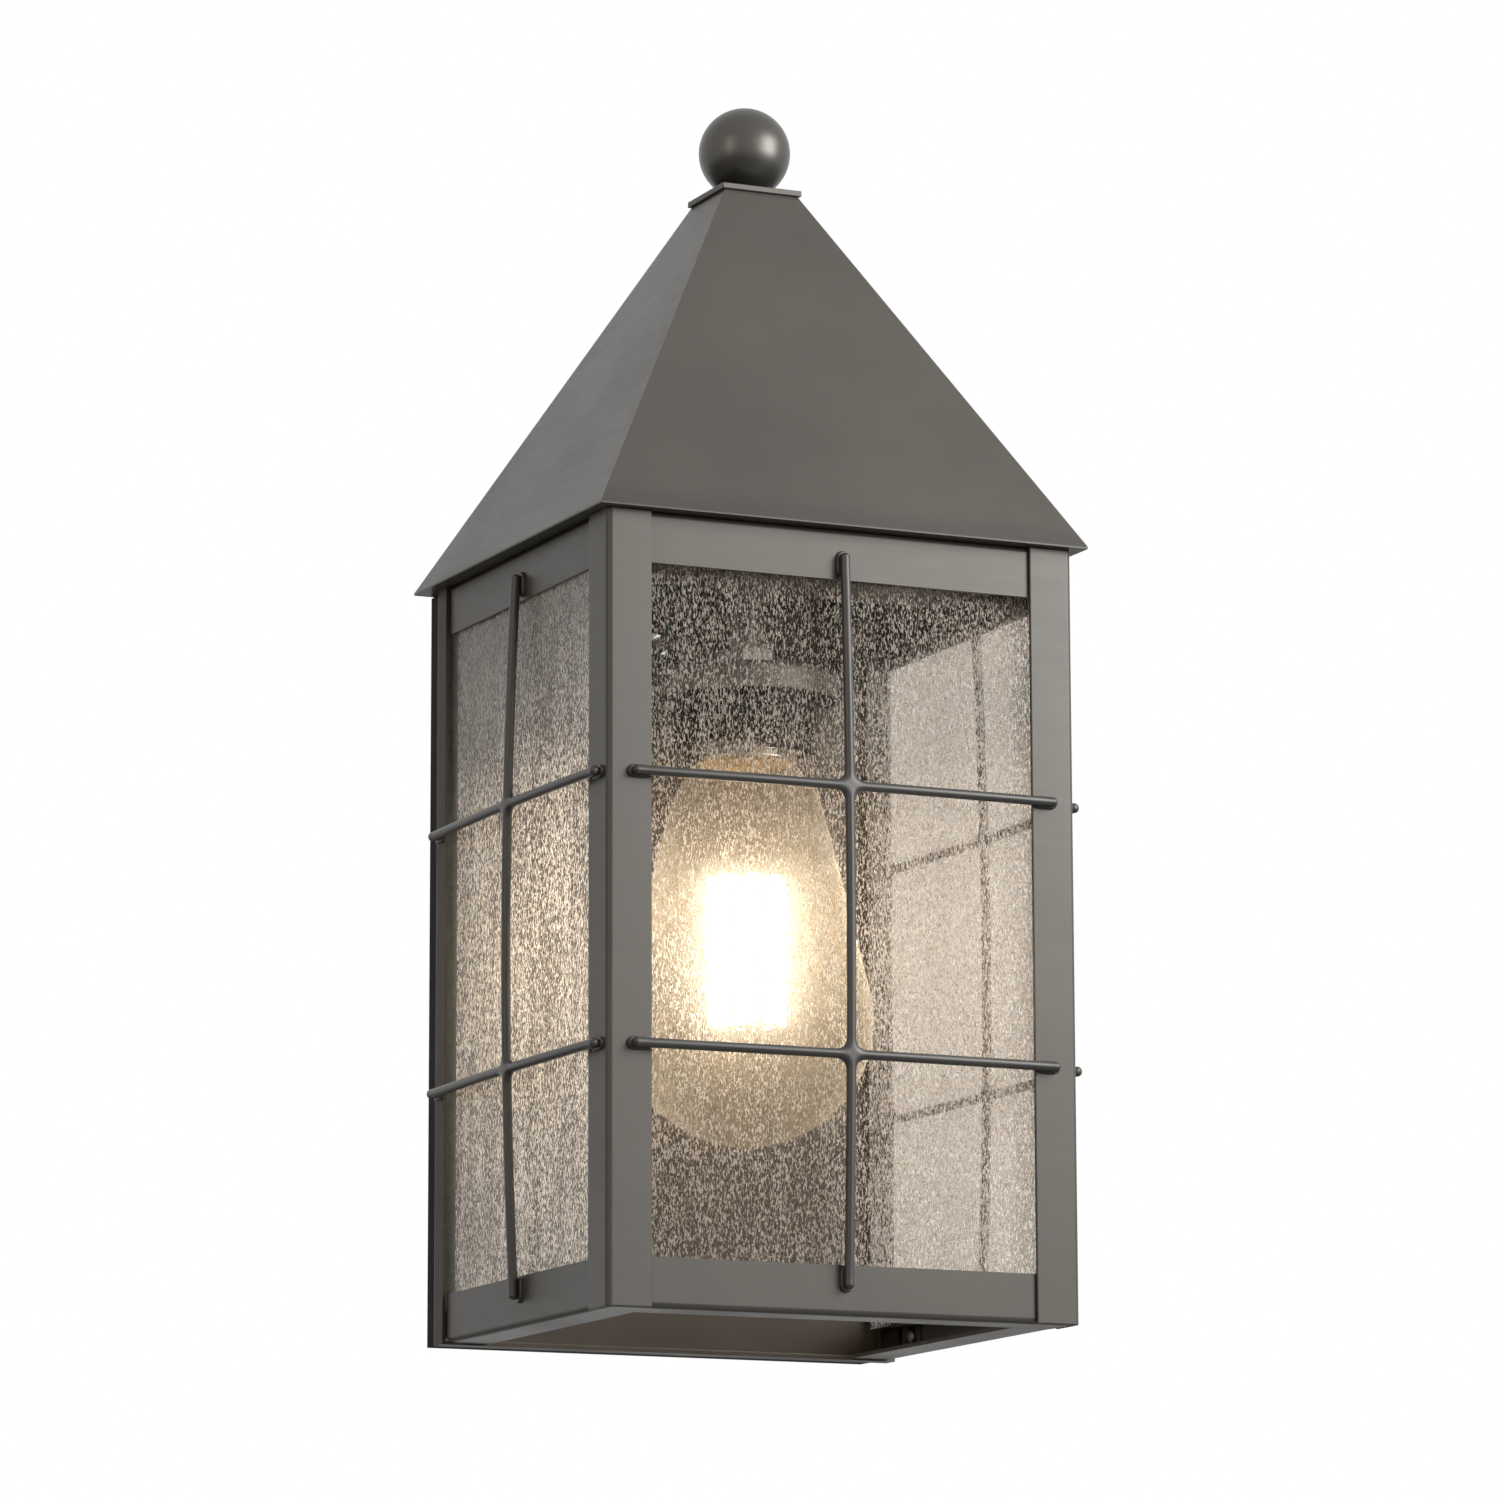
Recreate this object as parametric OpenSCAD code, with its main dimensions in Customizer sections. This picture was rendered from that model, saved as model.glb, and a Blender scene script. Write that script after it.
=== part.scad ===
// Outdoor wall lantern: a sheet-metal cage with a pyramid roof, seeded glass on three sides,
// welded wire grids, and a lamp hanging from the roof. The wall is the plane y = 0, the front
// faces -Y, and the origin is the centre of the outlet box that the crossbar screws to.

/* [Cage] */
// Width of the cage across the posts
cage_w = 127; // [110:1:150]
// Distance from the wall to the front of the posts
cage_d = 120; // [108:1:150]
// Height of the cage, from its bottom edge to the eaves
cage_h = 194.8; // [185:0.1:240]
// Width of each leg of the angle-section corner posts
post_leg = 11.8; // [9:0.1:16]
// Thickness of the post sheet
post_t = 1; // [0.8:0.1:1.2]
// Thickness of the rail sheet
rail_t = 1; // [0.8:0.1:1.2]
// Height of the bottom rails
bottom_rail_h = 12.3; // [11:0.1:14]
// Height of the top rails
top_rail_h = 12.8; // [12:0.1:15]
// Width of the flange that turns in under the cage
bottom_lip_w = 11.5; // [9:0.1:14]
// Width of the flange that turns in under the roof
top_lip_w = 11; // [10:0.1:12]
// Outer radius of the bends in the posts and rails
bend_r = 1.5; // [1.3:0.1:2]
// Outer radius of the bends in the wall plate and the back tray
pan_r = 2; // [1.3:0.1:3]

/* [Back] */
// Depth of the hollow plate that sits against the wall
plate_depth = 8.6; // [7.5:0.1:12]
// How far the wall plate stands in from the sides of the cage
plate_inset = 2.3; // [1:0.1:4]
// Thickness of the wall plate and of the back tray
back_t = 0.9; // [0.8:0.1:1]
// Depth of the back tray's rim
tray_rim = 7.2; // [6:0.1:9]
// How far the tray's rim drops below the bottom rails
tray_drop = 0.4; // [0.2:0.1:1]
// Height of the outlet box's centre above the bottom of the cage
box_z = 98; // [90:0.5:104]

/* [Crossbar] */
// Length of the crossbar
bar_l = 108; // [104:1:112]
// Width of the crossbar
bar_w = 22; // [18:0.5:26]
// Thickness of the crossbar
bar_t = 1.6; // [1.4:0.1:2]
// Distance between the centres of the two slots
slot_spacing = 79.4; // [76:0.1:82]
// End-to-end length of each slot
slot_l = 16; // [12:0.5:18]
// Width of each slot
slot_w = 4.8; // [4.4:0.1:5.2]
// Diameter of the stud that holds the lantern to the crossbar
stud_d = 6.35; // [5.5:0.05:7]
// Diameter of the cap nut
cap_nut_d = 11.2; // [10.5:0.1:13]
// Height of the cap nut, dome included
cap_nut_h = 11.5; // [10.5:0.1:13]

/* [Roof] */
// How far the eaves stand out past the cage
eave = 3.1; // [2:0.1:5]
// Gap between the back eave and the wall
eave_gap = 1.3; // [1:0.1:2]
// Height of the folded edge of the eaves
eave_edge = 0.6; // [0.4:0.1:1]
// Height of the roof from the eaves to its flat top
roof_rise = 97.6; // [85:0.1:110]
// Width of the flat top of the pyramid
roof_top_w = 20.6; // [20:0.1:21.5]
// Thickness of the roof sheet
roof_t = 0.9; // [0.8:0.1:1]
// Width of the square opening's margin under the roof
soffit_w = 16; // [15:0.5:18]
// Width of the square cap plate
cap_w = 22.2; // [22:0.1:26]
// Thickness of the cap plate
cap_t = 1.5; // [1.2:0.1:2]
// Diameter of the ball finial
ball_d = 23.6; // [20:0.1:26]
// Diameter of the small foot under the ball
ball_foot_d = 12; // [11.5:0.1:14]

/* [Lamp holder] */
// Outer diameter of the threaded tube that carries the lamp holder
tube_d = 9.9; // [9:0.1:10.4]
// Bore of the threaded tube
tube_bore = 6; // [5:0.1:6.5]
// Width across the flats of the nuts on the tube
tube_nut_af = 14.3; // [13:0.1:15]
// Thickness of the nuts on the tube
tube_nut_h = 3.5; // [3:0.1:4]
// Width of the strap that bridges the cage under the roof
strap_w = 20; // [18:0.5:26]
// Thickness of the strap
strap_t = 1.5; // [1.2:0.1:2]
// Diameter of the screws that hold the strap and the roof
strap_screw_d = 4; // [3.5:0.1:4.5]
// Outer diameter of the cup over the lamp holder
cup_d = 46.5; // [45:0.1:50]
// Height of the cup's straight skirt
cup_skirt = 6.8; // [6:0.1:9]
// Rise of the cup's low cone above its skirt
cup_rise = 2.4; // [2.2:0.1:3]
// Thickness of the cup
cup_t = 0.8; // [0.7:0.1:1]
// Distance from the top of the cage down to the lamp holder's mouth
holder_drop = 46.3; // [43:0.1:47]
// Outer diameter of the lamp holder's body
holder_d = 37.6; // [36:0.1:39]
// Height of the lamp holder's body
holder_h = 20.4; // [20:0.1:21]
// Inner diameter of the screw shell, over the lamp cap's thread
shell_bore = 26.8; // [26.6:0.1:27]
// Thickness of the screw shell
shell_t = 0.5; // [0.4:0.1:0.6]

/* [Lamp] */
// Largest diameter of the glass
bulb_d = 64; // [56:0.1:66]
// Distance from the lamp holder's mouth down to the lowest point of the glass
bulb_reach = 101; // [88:0.5:104]
// Thickness of the lamp's glass
bulb_t = 0.9; // [0.7:0.1:1.2]
// Diameter of the glass at its neck
neck_d = 25; // [24:0.1:25.4]
// Diameter of the glass where its cone meets the shoulder above the neck
shoulder_d = 37.8; // [34:0.1:39]
// Crest diameter of the lamp cap's thread
thread_d = 26.2; // [26:0.1:26.4]
// Pitch of the lamp cap's thread
thread_pitch = 3.6; // [3.4:0.1:3.8]
// Number of light-giving strands
strands = 8; // [4:1:8]
// Turn of the ring of strands round the lamp's axis, in degrees
strand_turn = -14; // [-22:1:22]
// Length of each strand
strand_l = 38; // [34:0.5:42]
// Diameter of each strand
strand_d = 2; // [1.4:0.1:2]
// Radius of the ring of strands
strand_ring = 9; // [7:0.5:9.5]

/* [Glass] */
// Thickness of the glass panes
pane_t = 3; // [2.5:0.1:3.2]
// Play between a pane and the metal round it
pane_play = 0.1; // [0.05:0.01:0.15]
// Length of each retaining clip
clip_l = 10; // [8:0.5:14]
// Thickness of the clips
clip_t = 0.8; // [0.6:0.1:0.9]
// Diameter of the clip screws
clip_screw_d = 3; // [2.5:0.1:3.2]

/* [Wire grids] */
// Diameter of the wire
wire_d = 2.4; // [2:0.1:2.8]
// How far the upright wires bow out between their ends
wire_bow = 2.4; // [2:0.1:3]
// Thickness of the pads that the wire ends are welded to
pad_t = 0.8; // [0.6:0.1:1]
// Width of the pads
pad_w = 3.2; // [2.8:0.1:5]
// Length of the pads
pad_l = 6.4; // [4:0.1:7]
// Distance from the cage's edges to the ends of the upright wires
upright_end = 6.4; // [5:0.1:8]
// Distance from the cage's sides to the ends of the front cross wires
cross_end = 5.9; // [4:0.1:7]
// Distance from the front to the ends of the side cross wires
side_end_front = 2; // [1.8:0.1:6]
// Distance from the wall to the back ends of the side cross wires
side_end_back = 10.5; // [10:0.1:12.5]
// Height of the lower cross wires
cross_low = 63.4; // [56:0.1:72]
// Height of the upper cross wires
cross_high = 129.8; // [120:0.1:138]

/* [Leads] */
// Diameter of the insulated leads
lead_d = 1.8; // [1.6:0.1:2]
// Distance from the top of the cage down to the grommet that the leads pass through
grommet_drop = 8.8; // [8.3:0.1:10.8]
// Diameter of the grommet's hole in the metal
grommet_d = 10; // [9.5:0.1:11]

/* [Hidden] */
$fn = 64;

// Clearance round screws and tubes in the holes that they pass through
hole_play = 0.25;
// Radial clearance of a nut or finial that turns on its thread
turn_play = 0.05;
// Gap between pieces that sit against each other but may part
seat_gap = 0.1;
// Gap between the lamp and the metal that it slides past
lamp_gap = 0.3;
// Overlap that keeps cuts clean
cut = 1;

// Metal colours
pewter = [0.33, 0.32, 0.31];
steel = [0.72, 0.73, 0.75];
brass = [0.78, 0.62, 0.32];
ceramic_white = [0.9, 0.89, 0.86];
clear_glass = [0.85, 0.87, 0.86, 0.4];

// The cage, seen from above: half its width, and the depths of its layers from the wall
half_w = cage_w / 2;
tray_back = plate_depth;
tray_floor = tray_back + back_t;
tray_front = tray_back + tray_rim;
rail_face = cage_d - post_t;
rail_inner = rail_face - rail_t;
rail_gap = 0.6;
side_rail_back = tray_front + rail_gap;

// The panes
pane_face = rail_inner - pane_play;
pane_back = pane_face - pane_t;
side_pane_face = half_w - post_t - rail_t - pane_play;
side_pane_back = side_pane_face - pane_t;
clip_step = pane_t + 2 * pane_play + 0.2;
clip_lap = 4;
clip_foot = 5.6;
clip_edge = 1.6;
pane_z0 = clip_edge + clip_foot + clip_t + pane_play;
pane_z1 = cage_h - pane_z0;
clip_inset_front = 20;
clip_inset_side = 14.7;

// The lamp's axis is the middle of the roof
roof_front = cage_d + eave;
roof_back = eave_gap;
axis_d = (roof_front + roof_back) / 2;
roof_half_d = (roof_front - roof_back) / 2;
roof_half_w = half_w + eave;
roof_foot = cage_h + eave_edge;
roof_top = cage_h + roof_rise;
soffit_top = cage_h + roof_t;
cap_top = roof_top + cap_t;
ball_r = ball_d / 2;
ball_z = cap_top + seat_gap + ball_r - 0.5;

// The lamp holder hangs from the tube
tube_r = tube_d / 2;
cup_r = cup_d / 2;
holder_z = cage_h - holder_drop;
cup_over = 12.7;
cup_z = holder_z + cup_over;
cup_shoulder = cup_z + cup_skirt;
cup_top = cup_shoulder + cup_rise;
cup_flat_r = 8.6;
tube_z0 = cup_top - cup_t;
tube_z1 = ball_z;
bore_top = ball_z + seat_gap;
strap_top = cage_h - rail_t;
strap_z = strap_top - strap_t;
holder_r = holder_d / 2;
holder_top = holder_z + holder_h;
shell_r = shell_bore / 2 + shell_t;
shell_inset = 1;
shell_l = 13.4;
shell_z1 = holder_z + shell_inset + shell_l;
well_r = 8.6;
roof_of_well = 1.3;
well_top = holder_top - roof_of_well;
holder_slope_w = 7;
holder_slope_h = 4;
holder_bevel = 0.8;
contact_t = 0.5;

// The lamp
bulb_r = bulb_d / 2;
bulb_z = holder_z - bulb_reach;
bulb_ball_z = bulb_z + bulb_r;
neck_l = 8.8;
cap_show = 3.7;
bulb_cap_z = holder_z - cap_show;
shoulder_z = bulb_cap_z - neck_l;
bulb_cap_h = 15;
insulator_h = 5.6;
bulb_tip_h = 1.5;
insulator_z = bulb_cap_z + bulb_cap_h;
bulb_tip_z = insulator_z + insulator_h;
strand_rise = 17.5;
strand_z = bulb_ball_z + strand_rise;

// Screws that hold the strap: through the strap, the top rails and the roof
strap_screw_x = half_w - post_t - 6.2;
strap_head_h = 2;
strap_nut_h = 3;

// The leads run from the outlet box up behind the wall plate, then forward to the cup
lead_r = lead_d / 2;
lead_entry_r = (cup_r - cup_t + holder_r) / 2;
grommet_z = cage_h - grommet_drop;
grommet_bore_r = 3.2;
grommet_lip = 1.6;
grommet_neck = 2 * back_t;

// Moves a model whose bottom is at z = 0 so that the outlet box's centre is the origin
module hung() {
    translate([0, 0, -box_z]) children();
}

// Moves a shape out from the wall and up, along the lamp's axis
module on_axis(z) {
    translate([0, -axis_d, z]) children();
}

// Two legs of bent sheet, in the corner at the origin, with a rounded bend
module angle_section(leg_x, leg_y, t, r) {
    difference() {
        rounded_corner(leg_x, leg_y, r);
        translate([t, t]) rounded_corner(leg_x, leg_y, max(r - t, 0.2));
    }
}

// A rectangle whose corner at the origin is rounded
module rounded_corner(x, y, r) {
    translate([r, 0]) square([x - r, y]);
    translate([0, r]) square([x, y - r]);
    translate([r, r]) circle(r);
}

// A rectangle centred on x whose two lower corners are rounded
module rounded_foot(w, y0, y1, r) {
    translate([-w / 2 + r, y0]) square([w - 2 * r, y1 - y0]);
    translate([-w / 2, y0 + r]) square([w, y1 - y0 - r]);
    for (s = [-1, 1]) translate([s * (w / 2 - r), y0 + r]) circle(r);
}

// A round hole along Y, at a place on the back of the lantern
module hole_through_back(x, z, r) {
    translate([x, cut, z]) rotate([90, 0, 0]) cylinder(r = r, h = tray_front + 2 * cut);
}

// A hexagonal nut with a round hole, its lower face at z = 0
module hex_nut(af, h, hole_r) {
    difference() {
        cylinder(r = af / sqrt(3), h = h, $fn = 6);
        translate([0, 0, -cut]) cylinder(r = hole_r, h = h + 2 * cut);
    }
}

// A screw with a low round head, the head below z = 0 and the shank above it
module round_head_screw(d, shank, head_d, head_h) {
    cylinder(d = d, h = shank);
    intersection() {
        translate([0, 0, -head_h]) cylinder(d = head_d, h = head_h);
        translate([0, 0, head_d * 0.75 - head_h]) sphere(r = head_d * 0.75);
    }
}

module crossbar() color(steel) hung() {
    difference() {
        translate([-bar_l / 2, -bar_t, box_z - bar_w / 2]) cube([bar_l, bar_t, bar_w]);
        hole_through_back(0, box_z, stud_d / 2 + hole_play);
        hole_through_back(earth_x, box_z, earth_screw_d / 2);
        for (s = [-1, 1]) translate([s * slot_spacing / 2, cut, box_z]) rotate([90, 0, 0]) slot();
    }
}

// The slot's cutting shape, along X and centred on the origin
module slot() {
    run = slot_l - slot_w;
    translate([-run / 2, -slot_w / 2, 0]) cube([run, slot_w, bar_t + 2 * cut]);
    for (s = [-1, 1]) translate([s * run / 2, 0, 0]) cylinder(d = slot_w, h = bar_t + 2 * cut);
}

earth_x = 20;
earth_screw_d = 3.5;
earth_head_d = 6.4;
earth_head_h = 2;
strap_earth_x = -26;

// One screw on the crossbar, and one on the strap for the lead from it
module earth_screws() color([0.25, 0.5, 0.3]) hung() {
    translate([earth_x, -bar_t, box_z]) rotate([-90, 0, 0])
        round_head_screw(earth_screw_d, bar_t, earth_head_d, earth_head_h);
    on_axis(strap_z) translate([strap_earth_x, 0, 0])
        round_head_screw(earth_screw_d, strap_t, earth_head_d, earth_head_h);
}

stud_l = tray_floor + cap_nut_h - 2.5;

module crossbar_stud() color(steel) hung() {
    translate([0, 0, box_z]) rotate([90, 0, 0]) cylinder(d = stud_d, h = stud_l);
}

lock_nut_af = 11;
lock_nut_h = 4;

module stud_lock_nut() color(steel) hung() {
    translate([0, -bar_t, box_z]) rotate([90, 0, 0]) hex_nut(lock_nut_af, lock_nut_h, stud_d / 2);
}

// The nut's foot, collar and dome turn on the stud as one
module cap_nut() color(pewter) hung() {
    r = cap_nut_d / 2;
    translate([0, -tray_floor - seat_gap, box_z]) rotate([90, 0, 0]) difference() {
        union() {
            cylinder(r = r, h = cap_nut_h - r);
            translate([0, 0, cap_nut_h - r]) sphere(r = r);
        }
        translate([0, 0, -r - cut]) cylinder(r = 2 * r, h = r + cut);
        translate([0, 0, -cut]) cylinder(r = stud_d / 2 + turn_play, h = cap_nut_h - 2 + cut);
    }
}

// A sheet pan: an outer block less an inner block that leaves the sheet's thickness
module pan_block(w, y0, y1, z0, z1, r) {
    intersection() {
        translate([0, 0, z0]) linear_extrude(z1 - z0) mirror([0, 1]) rounded_foot(w, y0, y1, r);
        rotate([90, 0, 90]) translate([0, 0, -w / 2]) linear_extrude(w)
            translate([0, (z0 + z1) / 2]) rotate(90) rounded_foot(z1 - z0, y0, y1, r);
    }
}

// The hollow plate opens towards the wall and hides the crossbar
module wall_plate() color(pewter) hung() {
    w = cage_w - 2 * plate_inset;
    z0 = seat_gap;
    z1 = cage_h - seat_gap;
    difference() {
        pan_block_front(w, 0, plate_depth, z0, z1, pan_r);
        pan_block_front(w - 2 * back_t, -cut, plate_depth - back_t, z0 + back_t, z1 - back_t, pan_r / 2);
        hole_through_back(0, box_z, stud_d / 2 + hole_play);
        hole_through_back(0, grommet_z, grommet_d / 2);
    }
}

// The same block with its rounded edges on the side away from the wall
module pan_block_front(w, y0, y1, z0, z1, r) {
    translate([0, -y0 - y1, 0]) mirror([0, 1, 0]) pan_block(w, y0, y1, z0, z1, r);
}

// The tray closes the back of the cage, and its rim turns forward
module back_tray() color(pewter) hung() {
    z0 = -tray_drop;
    z1 = cage_h;
    difference() {
        pan_block(cage_w, tray_back, tray_front, z0, z1, pan_r);
        pan_block(cage_w - 2 * back_t, tray_floor, tray_front + cut, z0 + back_t, z1 - back_t, pan_r / 2);
        hole_through_back(0, box_z, stud_d / 2 + hole_play);
        hole_through_back(0, grommet_z, grommet_d / 2);
    }
}

// One front corner post, its bend at the left front corner
module post() {
    translate([-half_w, -cage_d, 0]) linear_extrude(cage_h) angle_section(post_leg, post_leg, post_t, bend_r);
}

module post_left() color(pewter) hung() post();

module post_right() color(pewter) hung() mirror([1, 0, 0]) post();

// A rail along X, facing -Y, with its flange turned in at the bottom
module rail(length, height, flange) {
    translate([-length / 2, 0, 0]) rotate([90, 0, 90]) linear_extrude(length)
        angle_section(flange, height, rail_t, bend_r);
}

// The same rail with its flange at the top
module top_rail(length) {
    translate([0, 0, cage_h]) mirror([0, 0, 1]) rail(length, top_rail_h, top_lip_w);
}

// The blind holes that the clip screws bite into, along a rail
module clip_screw_holes(places, z) {
    for (x = places) translate([x, rail_t + cut, z]) rotate([90, 0, 0])
        cylinder(d = clip_screw_d, h = cut + clip_bite);
}

clip_bite = 0.6;
clip_screw_z = clip_edge + 2.9;
front_clip_x = half_w - clip_inset_front - clip_l / 2;
side_rail_l = rail_inner - side_rail_back;
side_rail_mid = (rail_inner + side_rail_back) / 2;
side_clip_x = side_rail_l / 2 - clip_inset_side;
front_rail_l = cage_w - 2 * bend_r;

// Trims both ends of a front rail's flange to the side rails' inner faces
module flange_end_cuts() {
    for (s = [0, 1]) mirror([s, 0, 0]) translate([half_w - post_t - rail_t, rail_t, -cut])
        cube([post_leg, post_leg + cut, cage_h + 2 * cut]);
}

module top_rail_front() color(pewter) hung() translate([0, -rail_face, 0]) difference() {
    top_rail(front_rail_l);
    flange_end_cuts();
    clip_screw_holes([-front_clip_x, front_clip_x], cage_h - clip_screw_z);
}

module bottom_rail_front() color(pewter) hung() translate([0, -rail_face, 0]) difference() {
    rail(front_rail_l, bottom_rail_h, bottom_lip_w);
    flange_end_cuts();
    clip_screw_holes([-front_clip_x, front_clip_x], clip_screw_z);
}

// Puts a rail that faces -Y on the left side of the cage
module on_left() {
    translate([-half_w + post_t, -side_rail_mid, 0]) rotate([0, 0, -90]) children();
}

// The side rails' flanges stop at the front rail's flange
module side_top_rail() {
    difference() {
        top_rail(side_rail_l);
        translate([side_rail_l / 2 - top_lip_w + rail_t, rail_t, cage_h - rail_t - cut])
            cube([top_lip_w, top_lip_w, rail_t + 2 * cut]);
        clip_screw_holes([-side_clip_x, side_clip_x], cage_h - clip_screw_z);
        translate([axis_d - side_rail_mid, half_w - post_t - strap_screw_x, cage_h - rail_t - cut])
            cylinder(d = strap_screw_d + 2 * hole_play, h = rail_t + 2 * cut);
    }
}

module side_bottom_rail() {
    difference() {
        rail(side_rail_l, bottom_rail_h, bottom_lip_w);
        translate([side_rail_l / 2 - bottom_lip_w + rail_t, rail_t, -cut])
            cube([bottom_lip_w, bottom_lip_w, rail_t + 2 * cut]);
        clip_screw_holes([-side_clip_x, side_clip_x], clip_screw_z);
        back_corner_cut();
    }
}

corner_r = 2.2;

// Rounds the lower back corner of a side rail
module back_corner_cut() {
    translate([-side_rail_l / 2, 0, 0]) difference() {
        translate([-cut, -cut, -cut]) cube([corner_r + cut, 3 * cut, corner_r + cut]);
        translate([corner_r, 3 * cut, corner_r]) rotate([90, 0, 0]) cylinder(r = corner_r, h = 5 * cut);
    }
}

tab_l_rail = 8;
tab_l_tray = 4.6;
tab_t = 1;
tab_h = pane_z0 - pane_play - seat_gap - bend_r;

// A stepped tab from a side rail's inner face to the inside of the tray's rim
module tray_tab() {
    x_rail = half_w - post_t - rail_t;
    x_rim = half_w - back_t;
    y_step = (tray_front + side_rail_back) / 2;
    linear_extrude(tab_h) polygon([
        [-x_rail, -side_rail_back - tab_l_rail], [-x_rail + tab_t, -side_rail_back - tab_l_rail],
        [-x_rail + tab_t, -y_step + tab_t], [-x_rim + tab_t, -y_step + tab_t],
        [-x_rim + tab_t, -tray_front + tab_l_tray], [-x_rim, -tray_front + tab_l_tray],
        [-x_rim, -y_step], [-x_rail, -y_step]
    ]);
}

// Four tabs, welded inside, join the side rails to the tray
module tray_tabs() color(pewter) hung() {
    for (s = [0, 1]) mirror([s, 0, 0]) {
        translate([0, 0, bend_r]) tray_tab();
        translate([0, 0, cage_h - bend_r - tab_h]) tray_tab();
    }
}

module top_rail_left() color(pewter) hung() on_left() side_top_rail();

module bottom_rail_left() color(pewter) hung() on_left() side_bottom_rail();

module top_rail_right() color(pewter) hung() mirror([1, 0, 0]) on_left() side_top_rail();

module bottom_rail_right() color(pewter) hung() mirror([1, 0, 0]) on_left() side_bottom_rail();

// How far the roof's slopes run in over their rise
run_w = roof_half_w - roof_top_w / 2;
run_d = roof_half_d - roof_top_w / 2;
slope_rise = roof_top - roof_foot;
// Thickness of each slope measured level, for a sheet of roof_t
level_w = roof_t * sqrt(1 + pow(run_w / slope_rise, 2));
level_d = roof_t * sqrt(1 + pow(run_d / slope_rise, 2));

// Half the width of the roof's section at a height, less an inset
function slope_at(half, run, inset, z) = half - inset - run * (z - roof_foot) / slope_rise;

// The roof's section, with an upright foot where it starts below the slopes
module slope_section(half, run, inset, z0, z1) {
    foot = z0 < roof_foot ? [[slope_at(half, run, inset, roof_foot), z0]] : [];
    z_slope = max(z0, roof_foot);
    right = concat(foot, [
        [slope_at(half, run, inset, z_slope), z_slope], [slope_at(half, run, inset, z1), z1]
    ]);
    left = [for (i = [len(right) - 1 : -1 : 0]) [-right[i].x, right[i].y]];
    polygon(concat(right, left));
}

// A square-cut pyramid: where two extruded sections cross
module pyramid(inset_w, inset_d, z0, z1) {
    intersection() {
        rotate([90, 0, 0]) translate([0, 0, roof_back]) linear_extrude(roof_front - roof_back)
            slope_section(roof_half_w, run_w, inset_w, z0, z1);
        translate([-roof_half_w, -axis_d, 0]) rotate([90, 0, 90]) linear_extrude(2 * roof_half_w)
            slope_section(roof_half_d, run_d, inset_d, z0, z1);
    }
}

// Four slopes folded in to a flat top, with a soffit turned in under the eaves
module roof_shell() color(pewter) hung() {
    difference() {
        pyramid(0, 0, cage_h, roof_top);
        pyramid(level_w, level_d, soffit_top, roof_top - roof_t);
        translate([-roof_half_w + soffit_w, -roof_front + soffit_w, cage_h - cut])
            cube([2 * (roof_half_w - soffit_w), roof_front - roof_back - 2 * soffit_w, roof_t + 2 * cut]);
        on_axis(roof_top - roof_t - cut) cylinder(r = tube_r + hole_play, h = roof_t + 2 * cut);
        for (s = [-1, 1]) on_axis(cage_h - cut) translate([s * strap_screw_x, 0, 0])
            cylinder(d = strap_screw_d + 2 * hole_play, h = roof_t + 2 * cut);
    }
}

module roof_cap_plate() color(pewter) hung() on_axis(roof_top) difference() {
    translate([-cap_w / 2, -cap_w / 2, 0]) cube([cap_w, cap_w, cap_t]);
    translate([0, 0, -cut]) cylinder(r = tube_r + hole_play, h = cap_t + 2 * cut);
}

// The ball stands on a short foot over the cap plate, and turns on the tube's end
module ball_finial() color(pewter) hung() on_axis(0) difference() {
    union() {
        translate([0, 0, ball_z]) sphere(r = ball_r);
        translate([0, 0, cap_top + seat_gap]) cylinder(d = ball_foot_d, h = ball_r / 2);
    }
    translate([0, 0, cap_top - cut]) cylinder(r = tube_r + turn_play, h = bore_top - cap_top + cut);
}

module hanger_tube() color(steel) hung() on_axis(tube_z0) difference() {
    cylinder(r = tube_r, h = tube_z1 - tube_z0);
    translate([0, 0, -cut]) cylinder(d = tube_bore, h = tube_z1 - tube_z0 + 2 * cut);
}

// The nuts lock the cup, clamp the strap from both sides, and draw the roof's top down
module tube_nuts() color(steel) hung() {
    for (z = [cup_top, strap_z - tube_nut_h, strap_top, roof_top - roof_t - tube_nut_h])
        on_axis(z) hex_nut(tube_nut_af, tube_nut_h, tube_r);
}

module holder_strap() color(steel) hung() on_axis(strap_z) {
    length = cage_w - 2 * (post_t + bend_r + hole_play);
    difference() {
        translate([-length / 2, -strap_w / 2, 0]) cube([length, strap_w, strap_t]);
        translate([0, 0, -cut]) cylinder(r = tube_r + hole_play, h = strap_t + 2 * cut);
        translate([strap_earth_x, 0, -cut]) cylinder(d = earth_screw_d, h = strap_t + 2 * cut);
        for (s = [-1, 1]) translate([s * strap_screw_x, 0, -cut])
            cylinder(d = strap_screw_d + 2 * hole_play, h = strap_t + 2 * cut);
    }
}

module strap_screws() color(steel) hung() {
    shank = strap_t + rail_t + roof_t + strap_nut_h + 0.5;
    for (s = [-1, 1]) on_axis(strap_z) translate([s * strap_screw_x, 0, 0])
        round_head_screw(strap_screw_d, shank, strap_screw_d * 1.7, strap_head_h);
}

module strap_nuts() color(steel) hung() {
    for (s = [-1, 1]) on_axis(soffit_top) translate([s * strap_screw_x, 0, 0])
        hex_nut(strap_screw_d * 1.75, strap_nut_h, strap_screw_d / 2);
}

// Outline of the cup from its axis out, shrunk by the sheet for its inside
module cup_outline(t) {
    polygon([
        [0, cup_z - (t > 0 ? cut : 0)], [cup_r - t, cup_z - (t > 0 ? cut : 0)],
        [cup_r - t, cup_shoulder - t], [cup_flat_r, cup_top - t], [0, cup_top - t]
    ]);
}

cup_screw_z = cup_z + 2.4;
cup_screw_d = 3;
lead_angles = [-115, -65];

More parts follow.
